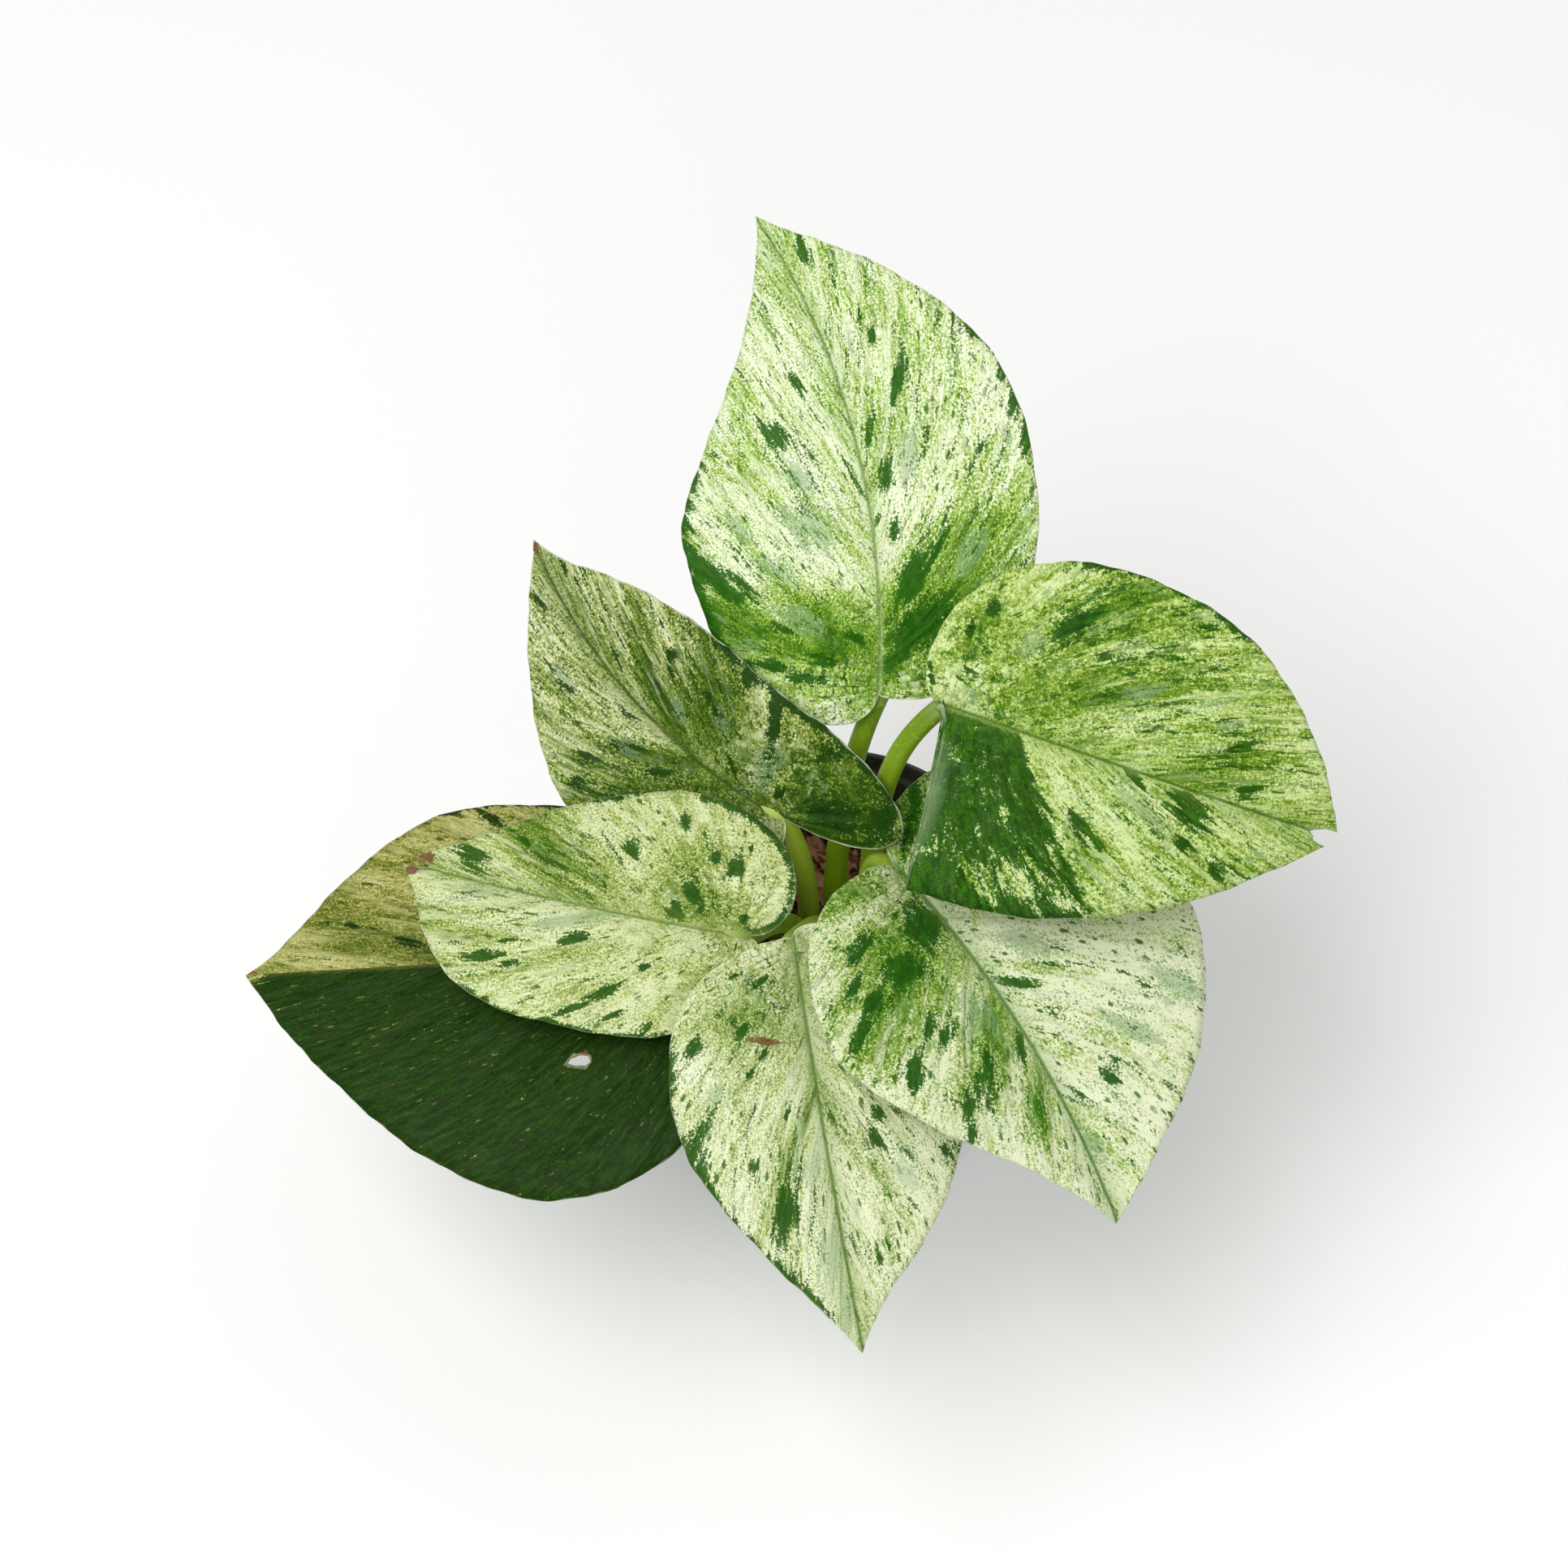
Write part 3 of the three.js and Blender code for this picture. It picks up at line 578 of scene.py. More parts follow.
def midribFrame(leaf, x):
    # the place of the midrib and the blade's forward, left and up directions there
    ahead = direction(leaf["heading"], leaf["pitch"])
    left = direction(leaf["heading"] + 90, 0)
    up = np.cross(ahead, left)
    roll = math.radians(leaf["roll"])
    left, up = math.cos(roll) * left + math.sin(roll) * up, math.cos(roll) * up - math.sin(roll) * left
    share = np.maximum(np.asarray(x, float) / leaf["length"], 0)[..., None]
    archTotal, swayTotal = math.radians(leaf["arch"]), math.radians(leaf["sway"])
    arch, sway = archTotal * share, swayTotal * share
    forward = leaf["length"] * share * np.sinc(arch / np.pi) * np.sinc(sway / np.pi)
    forward = forward + np.minimum(np.asarray(x, float), 0)[..., None]
    drop = (1 - np.cos(arch)) / archTotal * leaf["length"]
    aside = (1 - np.cos(sway)) / swayTotal * leaf["length"]
    spot = np.array(leaf["base"]) + forward * ahead - drop * up + aside * left
    tangent = np.cos(arch) * np.cos(sway) * ahead - np.sin(arch) * np.cos(sway) * up + np.sin(sway) * left
    across = np.cos(sway) * left - np.sin(sway) * ahead
    normal = np.cross(tangent, across)
    normal /= np.linalg.norm(normal, axis=-1, keepdims=True)
    across = np.cross(normal, tangent)
    twist = math.radians(leaf["twist"]) * share
    turned = np.cos(twist) * across + np.sin(twist) * normal
    normal = np.cos(twist) * normal - np.sin(twist) * across
    return spot, tangent, turned, normal


def bladePoint(leaf, half, x, y):
    # x runs along the midrib and y out from it, both on the flat blade
    side, sign = leaf[half], halfSigns[half]
    x, y = np.asarray(x, float), np.asarray(y, float)
    fold, curl = math.radians(side["fold"]), math.radians(side["curl"])
    slope = fold - curl * y / side["width"]
    out = side["width"] / curl * (math.sin(fold) - np.sin(slope))
    rise = side["width"] / curl * (np.cos(slope) - math.cos(fold))
    ripple = np.sin(2 * np.pi * blade["waves"] * x / leaf["length"] + sign)
    rise = rise + blade["wave"] * (y / side["width"]) ** 2 * ripple
    spot, tangent, across, normal = midribFrame(leaf, x)
    return spot + sign * out[..., None] * across + rise[..., None] * normal


def raggedGrid(leaf, half):
    # the vein grid with small nicks in its margin, and the way along that margin for each row
    x, y = veinGrid(leaf["length"], leaf[half])
    stepX, stepY = np.gradient(x[:, -1]), np.gradient(y[:, -1])
    away = np.hypot(stepX, stepY)
    around = np.cumsum(away)[:, None] + halfSigns[half] * leaf["length"]
    nicks = sum(height * np.sin(around / long + turn) for height, long, turn in blade["nickWaves"])
    rim = blade["nicks"] * nicks * outShare**12 * np.minimum(1, y[:, -1:] / 6)
    outX, outY = stepY[:, None] / away[:, None], -stepX[:, None] / away[:, None]
    return x - rim * outX, y - rim * outY, around


def pleatedSpots(leaf, half, x, y, around):
    # the grid in space, pleated softly between the side veins
    spots = bladePoint(leaf, half, x, y)
    facing = np.cross(np.gradient(spots, axis=0), np.gradient(spots, axis=1)) * -halfSigns[half]
    facing /= np.maximum(np.linalg.norm(facing, axis=-1, keepdims=True), 1e-9)
    phase = 2 * np.pi * around / blade["pleatEvery"]
    pleat = np.sin(phase) + 0.5 * np.sin(0.43 * phase + 1)
    height = pleat * np.sin(np.pi * outShare**0.8) * np.minimum(1, y / 4)
    return spots + blade["pleat"] * height[..., None] * facing


def veinPlaces(x, y):
    # how far each point lies out along its side vein, and how far along the blade that vein is
    run = np.hypot(np.diff(x, axis=1), np.diff(y, axis=1))
    u = np.hstack([np.zeros((len(x), 1)), np.cumsum(run, axis=1)])
    column = int(blade["steps"] * 0.75 ** (1 / blade["crowding"]))
    v = np.cumsum(np.hypot(np.gradient(x[:, column]), np.gradient(y[:, column])))
    return u, np.repeat(v[:, None], blade["steps"] + 1, axis=1)


def patchField(patches, x, y, sloping, outside, turn=0.0, grow=1.0):
    # 1 in the middle of a patch, 0 on its edge, and less outside; patches lie along the veins
    field = np.full(x.shape, outside)
    for along, out, long, wide in patches:
        nearest = np.unravel_index(np.argmin((x - along) ** 2 + (y - out) ** 2), x.shape)
        angle = sloping[nearest] + math.radians(turn)
        dx, dy = x - along, y - out
        run = (dx * math.cos(angle) + dy * math.sin(angle)) / (grow * long / 2)
        off = (dy * math.cos(angle) - dx * math.sin(angle)) / (grow * wide / 2)
        field = np.maximum(field, 1 - np.sqrt(run**2 + off**2))
    return field


def patternFields(leaf, look, half, x, y, v):
    # what the material reads at each point of one half
    sloping = np.arctan2(np.gradient(y, axis=1), np.gradient(x, axis=1))

    def patched(key, outside, turn="none", grow=1.0):
        patches = look.get(key, {}).get(half, [])
        return patchField(patches, x, y, sloping, outside, look.get(turn, 0.0), grow)

    marginX, marginY = marginLine(leaf["length"], leaf[half], np.linspace(0, 1, 400))
    edge = np.sqrt(((x[..., None] - marginX) ** 2 + (y[..., None] - marginY) ** 2).min(-1))
    dark = patched("darkPatches", outsideLevels["dark"], grow=look["grow"])
    for low, high, width in look.get("strips", {}).get(half, []):
        ends = np.minimum(x - low, high - x) / blade["stripFade"]
        dark = np.maximum(dark, np.minimum(np.minimum(1.3 - 1.3 * edge / width, ends), 0.5))
    sectorHalf, along, out = look.get("sector", ("none", 0, 0))
    if sectorHalf == half:
        # all that lies between the sinus and the side vein through this place is dark
        row = np.argmin(((x - along) ** 2 + (y - out) ** 2).min(1))
        sector = (v[row, 0] - v) / blade["sectorFade"]
        dark = np.maximum(dark, np.clip(sector, outsideLevels["dark"], look["sectorDepth"]))
    # light patches clear the dark away again
    light = patched("lightPatches", -1.0, "lightTurn")
    dark = np.maximum(dark - blade["clearing"] * np.clip(light + 0.2, 0, 1), outsideLevels["dark"])
    fan = (blade["fanReach"] - np.hypot(x, y)) / (0.65 * blade["fanReach"])
    return {
        "edge": edge, "rib": y, "share": x / leaf["length"], "fan": np.clip(fan, 0, 1), "dark": dark,
        "green": patched("greenPatches", outsideLevels["green"]),
        "grey": patched("greyPatches", outsideLevels["grey"]),
        "scar": patched("scars", outsideLevels["scar"], "scarTurn"),
        "sheen": patched("sheen", outsideLevels["sheen"]),
    }


def halfFaces(index, uv, offset):
    # each face as a ring of point numbers with their UV places; the grid's ends close on the midrib
    last, steps = len(index) - 1, blade["steps"]
    at = [[(int(index[row, k]), uv[row, k]) for k in range(steps + 1)] for row in range(last + 1)]
    sinus = (0, (offset, blade["patternStart"] - blade["patternEnd"]))
    tip = (1, (offset, uv[last, 0, 1] + blade["patternEnd"]))
    for k in range(steps):
        for row in range(last):
            yield [at[row][k], at[row + 1][k], at[row + 1][k + 1], at[row][k + 1]]
        yield [sinus, at[0][k], at[0][k + 1]]
        yield [tip, at[last][k + 1], at[last][k]]


def bladeSheet(name, leaf, look):
    # the middle surface as an open grid, with its UV maps and the fields that the material reads
    length, rows, steps = leaf["length"], blade["rows"], blade["steps"]
    # the midrib's two ends come first
    points = [bladePoint(leaf, "left", 0.0, 0.0), bladePoint(leaf, "left", length, 0.0)]
    flat = [(0.0, 0.0), (length, 0.0)]
    fields = {"edge": [0.0, 0.0], "rib": [0.0, 0.0], "share": [0.0, 1.0], "fan": [1.0, 0.0]}
    fields.update((key, [-0.2, -0.2]) for key in outsideLevels)
    faces, uvs = [], []
    for half in ("left", "right"):
        x, y, around = raggedGrid(leaf, half)
        spots = pleatedSpots(leaf, half, x, y, around)
        u, v = veinPlaces(x, y)
        values = patternFields(leaf, look, half, x, y, v)
        first = len(points)
        if half == "left":
            keep, offset = slice(0, None), 0.0
            index = np.arange(first, first + (rows - 1) * (steps + 1)).reshape(rows - 1, steps + 1)
            midribIndex = index[:, :1]
        else:
            # the right half shares the midrib's points, and its pattern comes from another place
            keep, offset = slice(1, None), blade["rightOffset"]
            outer = np.arange(first, first + (rows - 1) * steps).reshape(rows - 1, steps)
            index = np.hstack([midribIndex, outer])
        points.extend(spots[:, keep].reshape(-1, 3))
        flat.extend(zip(x[:, keep].ravel(), halfSigns[half] * y[:, keep].ravel()))
        for key, value in values.items():
            fields[key].extend(value[:, keep].ravel())
        uv = np.stack([u + offset, v - look["lean"][half] * u + blade["patternStart"]], -1)
        for ring in halfFaces(index, uv, offset):
            ring = ring if half == "left" else ring[::-1]
            faces.append([corner[0] for corner in ring])
            uvs.extend(corner[1] for corner in ring)
    sheet = addPiece(name, points, [], faces)
    veins = sheet.data.uv_layers.new(name="veins")
    veins.data.foreach_set("uv", np.array(uvs, np.float32).ravel())
    plain = sheet.data.uv_layers.new(name="flat")
    corners = np.zeros(len(sheet.data.loops), np.int32)
    sheet.data.loops.foreach_get("vertex_index", corners)
    plain.data.foreach_set("uv", np.array(flat, np.float32)[corners].ravel())
    for key, value in fields.items():
        attribute = sheet.data.attributes.new(key, "FLOAT", "POINT")
        attribute.data.foreach_set("value", np.array(value, np.float32))
    return sheet


def bladeSkin():
    # gives the open sheet its two faces, with a groove along the midrib above, a ridge below, and a
    # margin that is thinner and round
    tree, given = startTree("bladeSkin", {**blade["skin"], "Material": ""})
    field = {key: stored(tree, key) for key in ("edge", "rib", "share")}
    thin, thick = given["Margin Thickness"], given["Thickness"]
    thickness = remap(tree, field["edge"], 0.0, given["Rounding"], thin, thick, smooth=True)
    halfThick = calc(tree, "MULTIPLY", thickness, 0.5 * mm)
    depths = {}
    for key, depth, width, far in (
            ("groove", "Groove Depth", "Groove Width", 0.25), ("ridge", "Ridge Height", "Ridge Width", 0.1)):
        narrow = remap(tree, field["share"], 0.0, 1.0, 1.0, far)
        spread = calc(tree, "MULTIPLY", given[width], narrow)
        shape = bell(tree, calc(tree, "DIVIDE", field["rib"], spread))
        height = calc(tree, "MULTIPLY", given[depth], narrow)
        scaled = calc(tree, "MULTIPLY", height, mm)
        depths[key] = calc(tree, "MULTIPLY", shape, scaled)
    above = calc(tree, "SUBTRACT", halfThick, depths["groove"])
    below = calc(tree, "ADD", halfThick, depths["ridge"])
    total = calc(tree, "ADD", above, below)
    down = calc(tree, "MULTIPLY", below, -1.0)
    facing = addNode(tree, "GeometryNodeInputNormal").outputs[0]
    kept = store(tree, given["Geometry"], "facing", facing, "FLOAT_VECTOR")
    facing = stored(tree, "facing", "FLOAT_VECTOR")
    sink = scaledVector(tree, facing, down)
    lift = scaledVector(tree, facing, total)
    under = moved(tree, kept, Offset=sink)
    pulled = addNode(tree, "GeometryNodeExtrudeMesh", {
        "Mesh": under, "Offset Scale": 0.0, "Individual": False})
    raised = moved(tree, pulled.outputs["Mesh"], Selection=pulled.outputs["Top"], Offset=lift)
    upper = store(tree, raised, "upper", pulled.outputs["Top"])
    flipped = addNode(tree, "GeometryNodeFlipFaces", {"Mesh": under}).outputs[0]
    both = addNode(tree, "GeometryNodeJoinGeometry")
    tree.links.new(upper, both.inputs[0])
    tree.links.new(flipped, both.inputs[0])
    closed = addNode(tree, "GeometryNodeMergeByDistance", {
        "Geometry": both.outputs[0], "Distance": 0.00005 * mm}).outputs[0]
    smooth = addNode(tree, "GeometryNodeSetShadeSmooth", {
        "Geometry": closed, "Shade Smooth": True}).outputs[0]
    endTree(tree, smooth, given["Material"])
    return tree


# The leaf pattern. The ground runs from cream to green with the sum of a streaky noise and a fine
# grain. Over it come mid green, cream, two grey-greens, small and large dark blotches, and specks.
# Sizes are in mm; stretch draws the noise out along the veins, and gain and grain weigh the streaky
# noise and the fine grain. An overlay starts at low, is full at high, and goes from its outer to its
# inner colour over its depth; field and weight say how much it follows the leaf's own patches.
ground = {
    "middle": 0.41, "grain": 2.9,
    "layers": [
        # number of the noise, its size, stretch and gain
        (0, 9.0, 2.6, 1.25), (8, 2.4, 4.0, 1.1), (7, 0.8, 2.2, 1.2)],
}
overlays = [
    {"size": 2.6, "stretch": 3.0, "gain": 2.4, "grain": 1.2, "low": 0.24, "high": 0.29, "depth": 0.3,
     "field": "green", "weight": 0.25, "colours": ("middle", "leaf"), "amount": 0.6, "share": "darkShare"},
    {"size": 3.0, "stretch": 4.5, "gain": 2.4, "grain": 1.2, "low": 0.2, "high": 0.26, "depth": 0.3,
     "field": "green", "weight": -0.2, "colours": ("cream", "cream"), "amount": 0.5},
    {"size": 3.2, "stretch": 2.6, "gain": 3.0, "grain": 2.8, "low": 0.08, "high": 0.2, "depth": 0.4,
     "field": "grey", "colours": ("grey", "grey"), "amount": 0.52},
    {"size": 3.4, "stretch": 2.6, "gain": 2.8, "grain": 1.8, "low": 0.36, "high": 0.46, "depth": 0.4,
     "field": "green", "weight": 0.1, "colours": ("grey", "grey"), "amount": 0.5},
    {"size": 1.8, "stretch": 2.2, "gain": 2.0, "grain": 1.1, "low": 0.29, "high": 0.35, "depth": 0.2,
     "field": "green", "weight": 0.2, "colours": ("leaf", "dark"), "amount": 0.9, "share": "darkShare"},
    {"size": 2.2, "stretch": 3.4, "gain": 3.2, "grain": 2.3, "low": 0.13, "high": 0.19, "depth": 0.3,
     "field": "dark", "colours": ("leaf", "dark"), "amount": 0.97, "share": "darkShare"},
]
specks = [
    # spacing in mm, share of empty cells, size of the dots, and their colour and strength
    {"spacing": 1.7, "empty": 0.66, "size": 0.95, "shade": "leaf", "amount": 0.95},
    {"spacing": 0.7, "empty": 0.5, "size": 0.5, "shade": "leaf", "amount": 0.8},
    {"spacing": 1.5, "empty": 0.84, "size": 1.0, "shade": "pale", "amount": 0.45},
]
leafFinish = {
    "rim": "#cfdab4", "underside": "#9fb288",
    "dry": ("#4c2c1c", "#8e6040"), "dryEdge": ("#5d3325", "#c08f6d"),
}


def midribLines(tree, look, colour, field, plain, grain):
    # a pale band along the midrib, a thin dark line of painted shadow to one side of it as in a crease,
    # painted shade in darker green beside it as in the valley of the fold, and a thin pale line on the
    # margin
    strength = look.get("band", 0.55)
    fade = remap(tree, field["share"], 0.0, 0.9, strength, 0.1)
    band = calc(tree, "MULTIPLY_ADD", grain, 2.5, field["rib"])
    band = remap(tree, band, 0.2, 0.9, 1.0, 0.0)
    band = calc(tree, "MULTIPLY", band, fade)
    colour = blend(tree, band, colour, look["ground"][1])
    # painted shade: darker green beside the midrib, standing for the shade in the valley of the fold
    valleyShade = calc(tree, "MULTIPLY_ADD", grain, 5.0, field["rib"])
    valleyShade = remap(tree, valleyShade, 0.6, 4.0, look["valleyShade"], 0.0)
    colour = blend(tree, valleyShade, colour, look["ground"][4])
    # painted shadow: a thin dark line just beside the midrib, standing for the shadow in its crease
    beside = addNode(tree, "ShaderNodeSeparateXYZ", {0: plain}).outputs["Y"]
    beside = calc(tree, "SUBTRACT", beside, 0.2)
    beside = calc(tree, "ABSOLUTE", beside)
    creaseShadow = remap(tree, beside, 0.12, 0.5, look["creaseShadow"], 0.0)
    colour = blend(tree, creaseShadow, colour, look["ground"][-1])
    rim = remap(tree, field["edge"], 0.1, 0.3, look["rim"], 0.0)
    return blend(tree, rim, colour, leafFinish["rim"])


def dryPlaces(tree, colour, field, plain, grain):
    # dry brown tips, the rim of the hole and a scratch
    dryNoise = noiseOf(tree, plain, 0.9, 4.0)
    dryness = calc(tree, "ADD", field["scar"], dryNoise)
    dryness = remap(tree, dryness, 0.55, 0.75, 0.0, 0.9)
    mottle = remap(tree, grain, -0.1, 0.1, 0.0, 1.0)
    dryTone = blend(tree, mottle, *leafFinish["dry"])
    return blend(tree, dryness, colour, dryTone)


def leafSurface(tree, shader, veins, plain, grain, seed):
    # gloss varies a little, and fine cells and faint side veins raise the surface
    gloss = remap(tree, grain, -0.1, 0.1, 0.38, 0.5)
    tree.links.new(gloss, shader.inputs["Roughness"])
    cells = noiseOf(tree, mapped(tree, plain, Location=(0, 0, seed)), 3.2, 2.0)
    quilt = noiseOf(tree, mapped(tree, veins, Location=(0, 0, seed), Scale=(0.1, 1, 1)), 0.42, 2.0)
    low = bumped(tree, 0.6, 0.001, quilt)
    fine = bumped(tree, 0.35, 0.00012, cells, Normal=low)
    tree.links.new(fine, shader.inputs["Normal"])


def leafMaterial(name, look, seed):
    # a satin leaf, mottled from cream to dark green along its veins
    material, tree, shader = startMaterial(name, 0.45, 0.06)
    veins = addNode(tree, "ShaderNodeUVMap", uv_map="veins").outputs[0]
    plain = addNode(tree, "ShaderNodeUVMap", uv_map="flat").outputs[0]
    keys = ("edge", "rib", "share", "dark", "green", "grey", "scar", "sheen", "fan", "upper")
    field = {key: readField(tree, key) for key in keys}
    grain = noiseOf(tree, mapped(tree, plain, Location=(0, 0, seed)), 2.3, 3.0, roughness=0.85)
    grain = calc(tree, "SUBTRACT", grain, 0.5)

    def streaky(number, size, stretch, gain, fine, lift):
        # gain times a noise drawn out along the veins, plus fine times the grain, plus lift
        spot = mapped(tree, veins, Location=(0, 0, seed * 7 + number * 13.7), Scale=(1 / stretch, 1, 1))
        value = noiseOf(tree, spot, 1 / size, 4.0, roughness=0.6, distortion=0.4)
        spot = mapped(tree, plain, Location=(0, 0, seed * 5 + number * 9.1), Scale=(0.8, 1, 1))
        loose = noiseOf(tree, spot, 0.7 / size, 4.0, roughness=0.6, distortion=0.8)
        value = addNode(tree, "ShaderNodeMix", {0: field["fan"], 2: value, 3: loose}).outputs[0]
        value = calc(tree, "SUBTRACT", value, 0.5)
        value = calc(tree, "MULTIPLY_ADD", value, gain, lift)
        return calc(tree, "MULTIPLY_ADD", grain, fine, value)

    value = calc(tree, "MULTIPLY_ADD", field["green"], look["greenGain"], ground["middle"] + look["shift"])
    value = calc(tree, "MULTIPLY_ADD", grain, ground["grain"], value)
    for number, size, stretch, gain in ground["layers"]:
        value = streaky(number, size, stretch, gain, 0.0, value)
    ramp = addNode(tree, "ShaderNodeValToRGB", {0: value})
    stops = ramp.color_ramp.elements
    tones = look["ground"]
    for number, shade in enumerate(tones):
        stop = stops[number] if number < 1 else stops.new(number / len(tones))
        stop.color = linearColour(shade)
    stops.remove(stops[-1])
    shades = dict(look, cream=tones[0], pale=tones[2], middle=tones[3], leaf=tones[-1])

    def dotted(colour, number):
        # small dots of one ground colour, each in its own cell
        speck = specks[number]
        spot = mapped(tree, veins, Location=(seed * 31, seed * 17 + number, 0), Scale=(0.6, 1, 1))
        cell = addNode(tree, "ShaderNodeTexVoronoi", {
            "Vector": spot, "Scale": 1 / speck["spacing"]}, voronoi_dimensions="2D")
        luck = addNode(tree, "ShaderNodeSeparateColor", {0: cell.outputs["Color"]}).outputs[0]
        size = calc(tree, "SUBTRACT", luck, speck["empty"])
        size = calc(tree, "MULTIPLY", size, speck["size"])
        inside = calc(tree, "SUBTRACT", size, cell.outputs["Distance"])
        inside = calc(tree, "MULTIPLY_ADD", grain, 0.8, inside)
        dot = remap(tree, inside, -0.04, 0.06, 0.0, speck["amount"])
        return blend(tree, dot, colour, shades[speck["shade"]])

    colour = dotted(dotted(ramp.outputs[0], 0), 1)
    # the dark green is itself mottled lightly along the veins, partly the leaf's own mottle and partly
    # painted sheen
    lighter = streaky(9, 1.1, 2.4, 2.6, 3.4, 0.22)
    shades["dark"] = blend(tree, lighter, look["dark"], look["darkLight"])
    for number, over in enumerate(overlays):
        lift = calc(tree, "MULTIPLY", field[over["field"]], over.get("weight", 1.0))
        value = streaky(number + 1, over["size"], over["stretch"], over["gain"], over["grain"], lift)
        low = over["low"] - look.get(over.get("share"), 0.0)
        mask = remap(tree, value, low, low + over["high"] - over["low"], 0.0, over["amount"])
        depth = remap(tree, value, low, low + over["depth"], 0.0, 1.0)
        outer, inner = (shades[key] for key in over["colours"])
        tone = blend(tree, depth, outer, inner)
        colour = blend(tree, mask, colour, tone)
    colour = dotted(colour, 2)
    # painted sheen: a pale grey highlight laid where the sheen field says, as on a curled edge
    paintedSheen = remap(tree, field["sheen"], 0.0, 0.7, 0.0, 0.5)
    colour = blend(tree, paintedSheen, colour, look["grey"])
    colour = midribLines(tree, look, colour, field, plain, grain)
    colour = dryPlaces(tree, colour, field, plain, grain)
    # the underside is paler and greyer
    turned = remap(tree, field["upper"], 0.3, 0.7, 0.55, 0.0)
    colour = blend(tree, turned, colour, leafFinish["underside"])
    tree.links.new(colour, shader.inputs["Base Color"])
    leafSurface(tree, shader, veins, plain, grain, seed)
    return material


# dry brown tissue on the cut face of a bite, speckled and matt
dryEdge = speckledMaterial("dry brown leaf edge", 0.8, 0.2, 900.0, 3.0, *leafFinish["dryEdge"])[0]


def biteCutter(name, leaf, bite):
    # an oval with an uneven outline that stands square on the blade
    half, along, out, long, wide = bite
    middle = bladePoint(leaf, half, along, out)
    spot, tangent, across, normal = midribFrame(leaf, along)
    count, depth = 28, 4
    angles = np.arange(count) * 2 * np.pi / count
    uneven = 1 + 0.07 * np.sin(3 * angles + 1) + 0.05 * np.sin(7 * angles)
    ring = middle + np.outer(np.cos(angles) * uneven * long / 2, tangent)
    ring = ring + np.outer(np.sin(angles) * uneven * wide / 2, across)
    points = np.vstack([ring - depth * normal, ring + depth * normal])
    faces = [[k, (k + 1) % count, count + (k + 1) % count, count + k] for k in range(count)]
    faces += [list(range(count))[::-1], list(range(count, 2 * count))]
    cutter = addPiece(name, points, [], faces)
    cutter.data.materials.append(dryEdge)
    return cutter


skinTree = bladeSkin()
slots = {"right": "blades_mixed", "far_left": "blade_dark"}
for number, (name, leaf) in enumerate(leaves.items()):
    look = looks[name]
    piece = bladeSheet("blade_" + name + "_finished", leaf, look)
    finish = leafMaterial("variegated leaf, " + name.replace("_", " "), look, 3.1 + 5.3 * number)
    wearTree(piece, skinTree, {**blade["skin"], "Material": finish})
    cutters = [biteCutter("bite", leaf, bite) for bite in leaf.get("bites", [])]
    for cutter in cutters:
        opening = piece.modifiers.new("bite", "BOOLEAN")
        opening.object = cutter
        opening.operation = "DIFFERENCE"
        opening.solver = "MANIFOLD"
        opening.material_mode = "TRANSFER"
    piece = settle(piece)
    for cutter in cutters:
        bpy.data.objects.remove(cutter)
    place(piece, slots.get(name, "blades_pale"), "blade_" + name)
print("blades ready")


# Leaf stalks and the vine stem: a grooved, tapering section swept along each path

stalk = {
    "section": {
        "Foot Width": 4.6, "Top Width": 3.6, "Knee Width": 0.62, "Knee Start": 0.93, "Flattening": 0.88,
        "Groove Depth": 0.2, "Groove Width": 0.42, "Groove Heading": 0.0, "Wing Height": 0.9,
        "Wing End": 0.62, "Swelling": 0.0, "Node Place": 0.7, "Node Length": 0.08, "Sides": 28, "Steps": 60},
    "kneeAhead": 5.0, "kneeDepth": 1.1, "kneeHandles": (1.6, 3.0), "kneeStart": 0.12, "kneeSteps": 9,
    "soilTop": 63.5, "holeDepth": 8, "gap": 0.3,
    # where the sheath's wings stand on the section's radius of 1, and how wide they are
    "wingPlace": 0.62, "wingWidth": 0.17,
}
stem = {
    "foot": (0.3, -1.7), "top": (-0.4, -2.4), "height": 7,
    "section": {
        "Foot Width": 4.4, "Top Width": 4.4, "Knee Width": 0.8, "Knee Start": 0.95, "Flattening": 1.0,
        "Groove Depth": 0.0, "Wing Height": 0.0, "Swelling": 1.0, "Node Place": 0.72, "Steps": 50},
}
stalkFinishes = {
    # colours of the foot, the top, the streaks and the dry edge of the sheath; the feet are painted lighter
    # than the stalks' own green, as painted light where the leaves shade them, and the deep stalks' tops
    # darker, as painted shade
    "green": ("fresh green leaf stalk", "#a6c42c", "#6e8c1c", "#90a840", "#c0a486"),
    "deep": ("deep green leaf stalk", "#a8cc20", "#5e7e0c", "#7f9c30", "#c0a486"),
    "pale": ("pale green leaf stalk", "#c0dc40", "#a2bc30", "#b8cc60", "#c0a486"),
}
stalkShades = {"top": "deep", "right": "deep", "left": "pale"}
kneeColour = "#c2cc92"


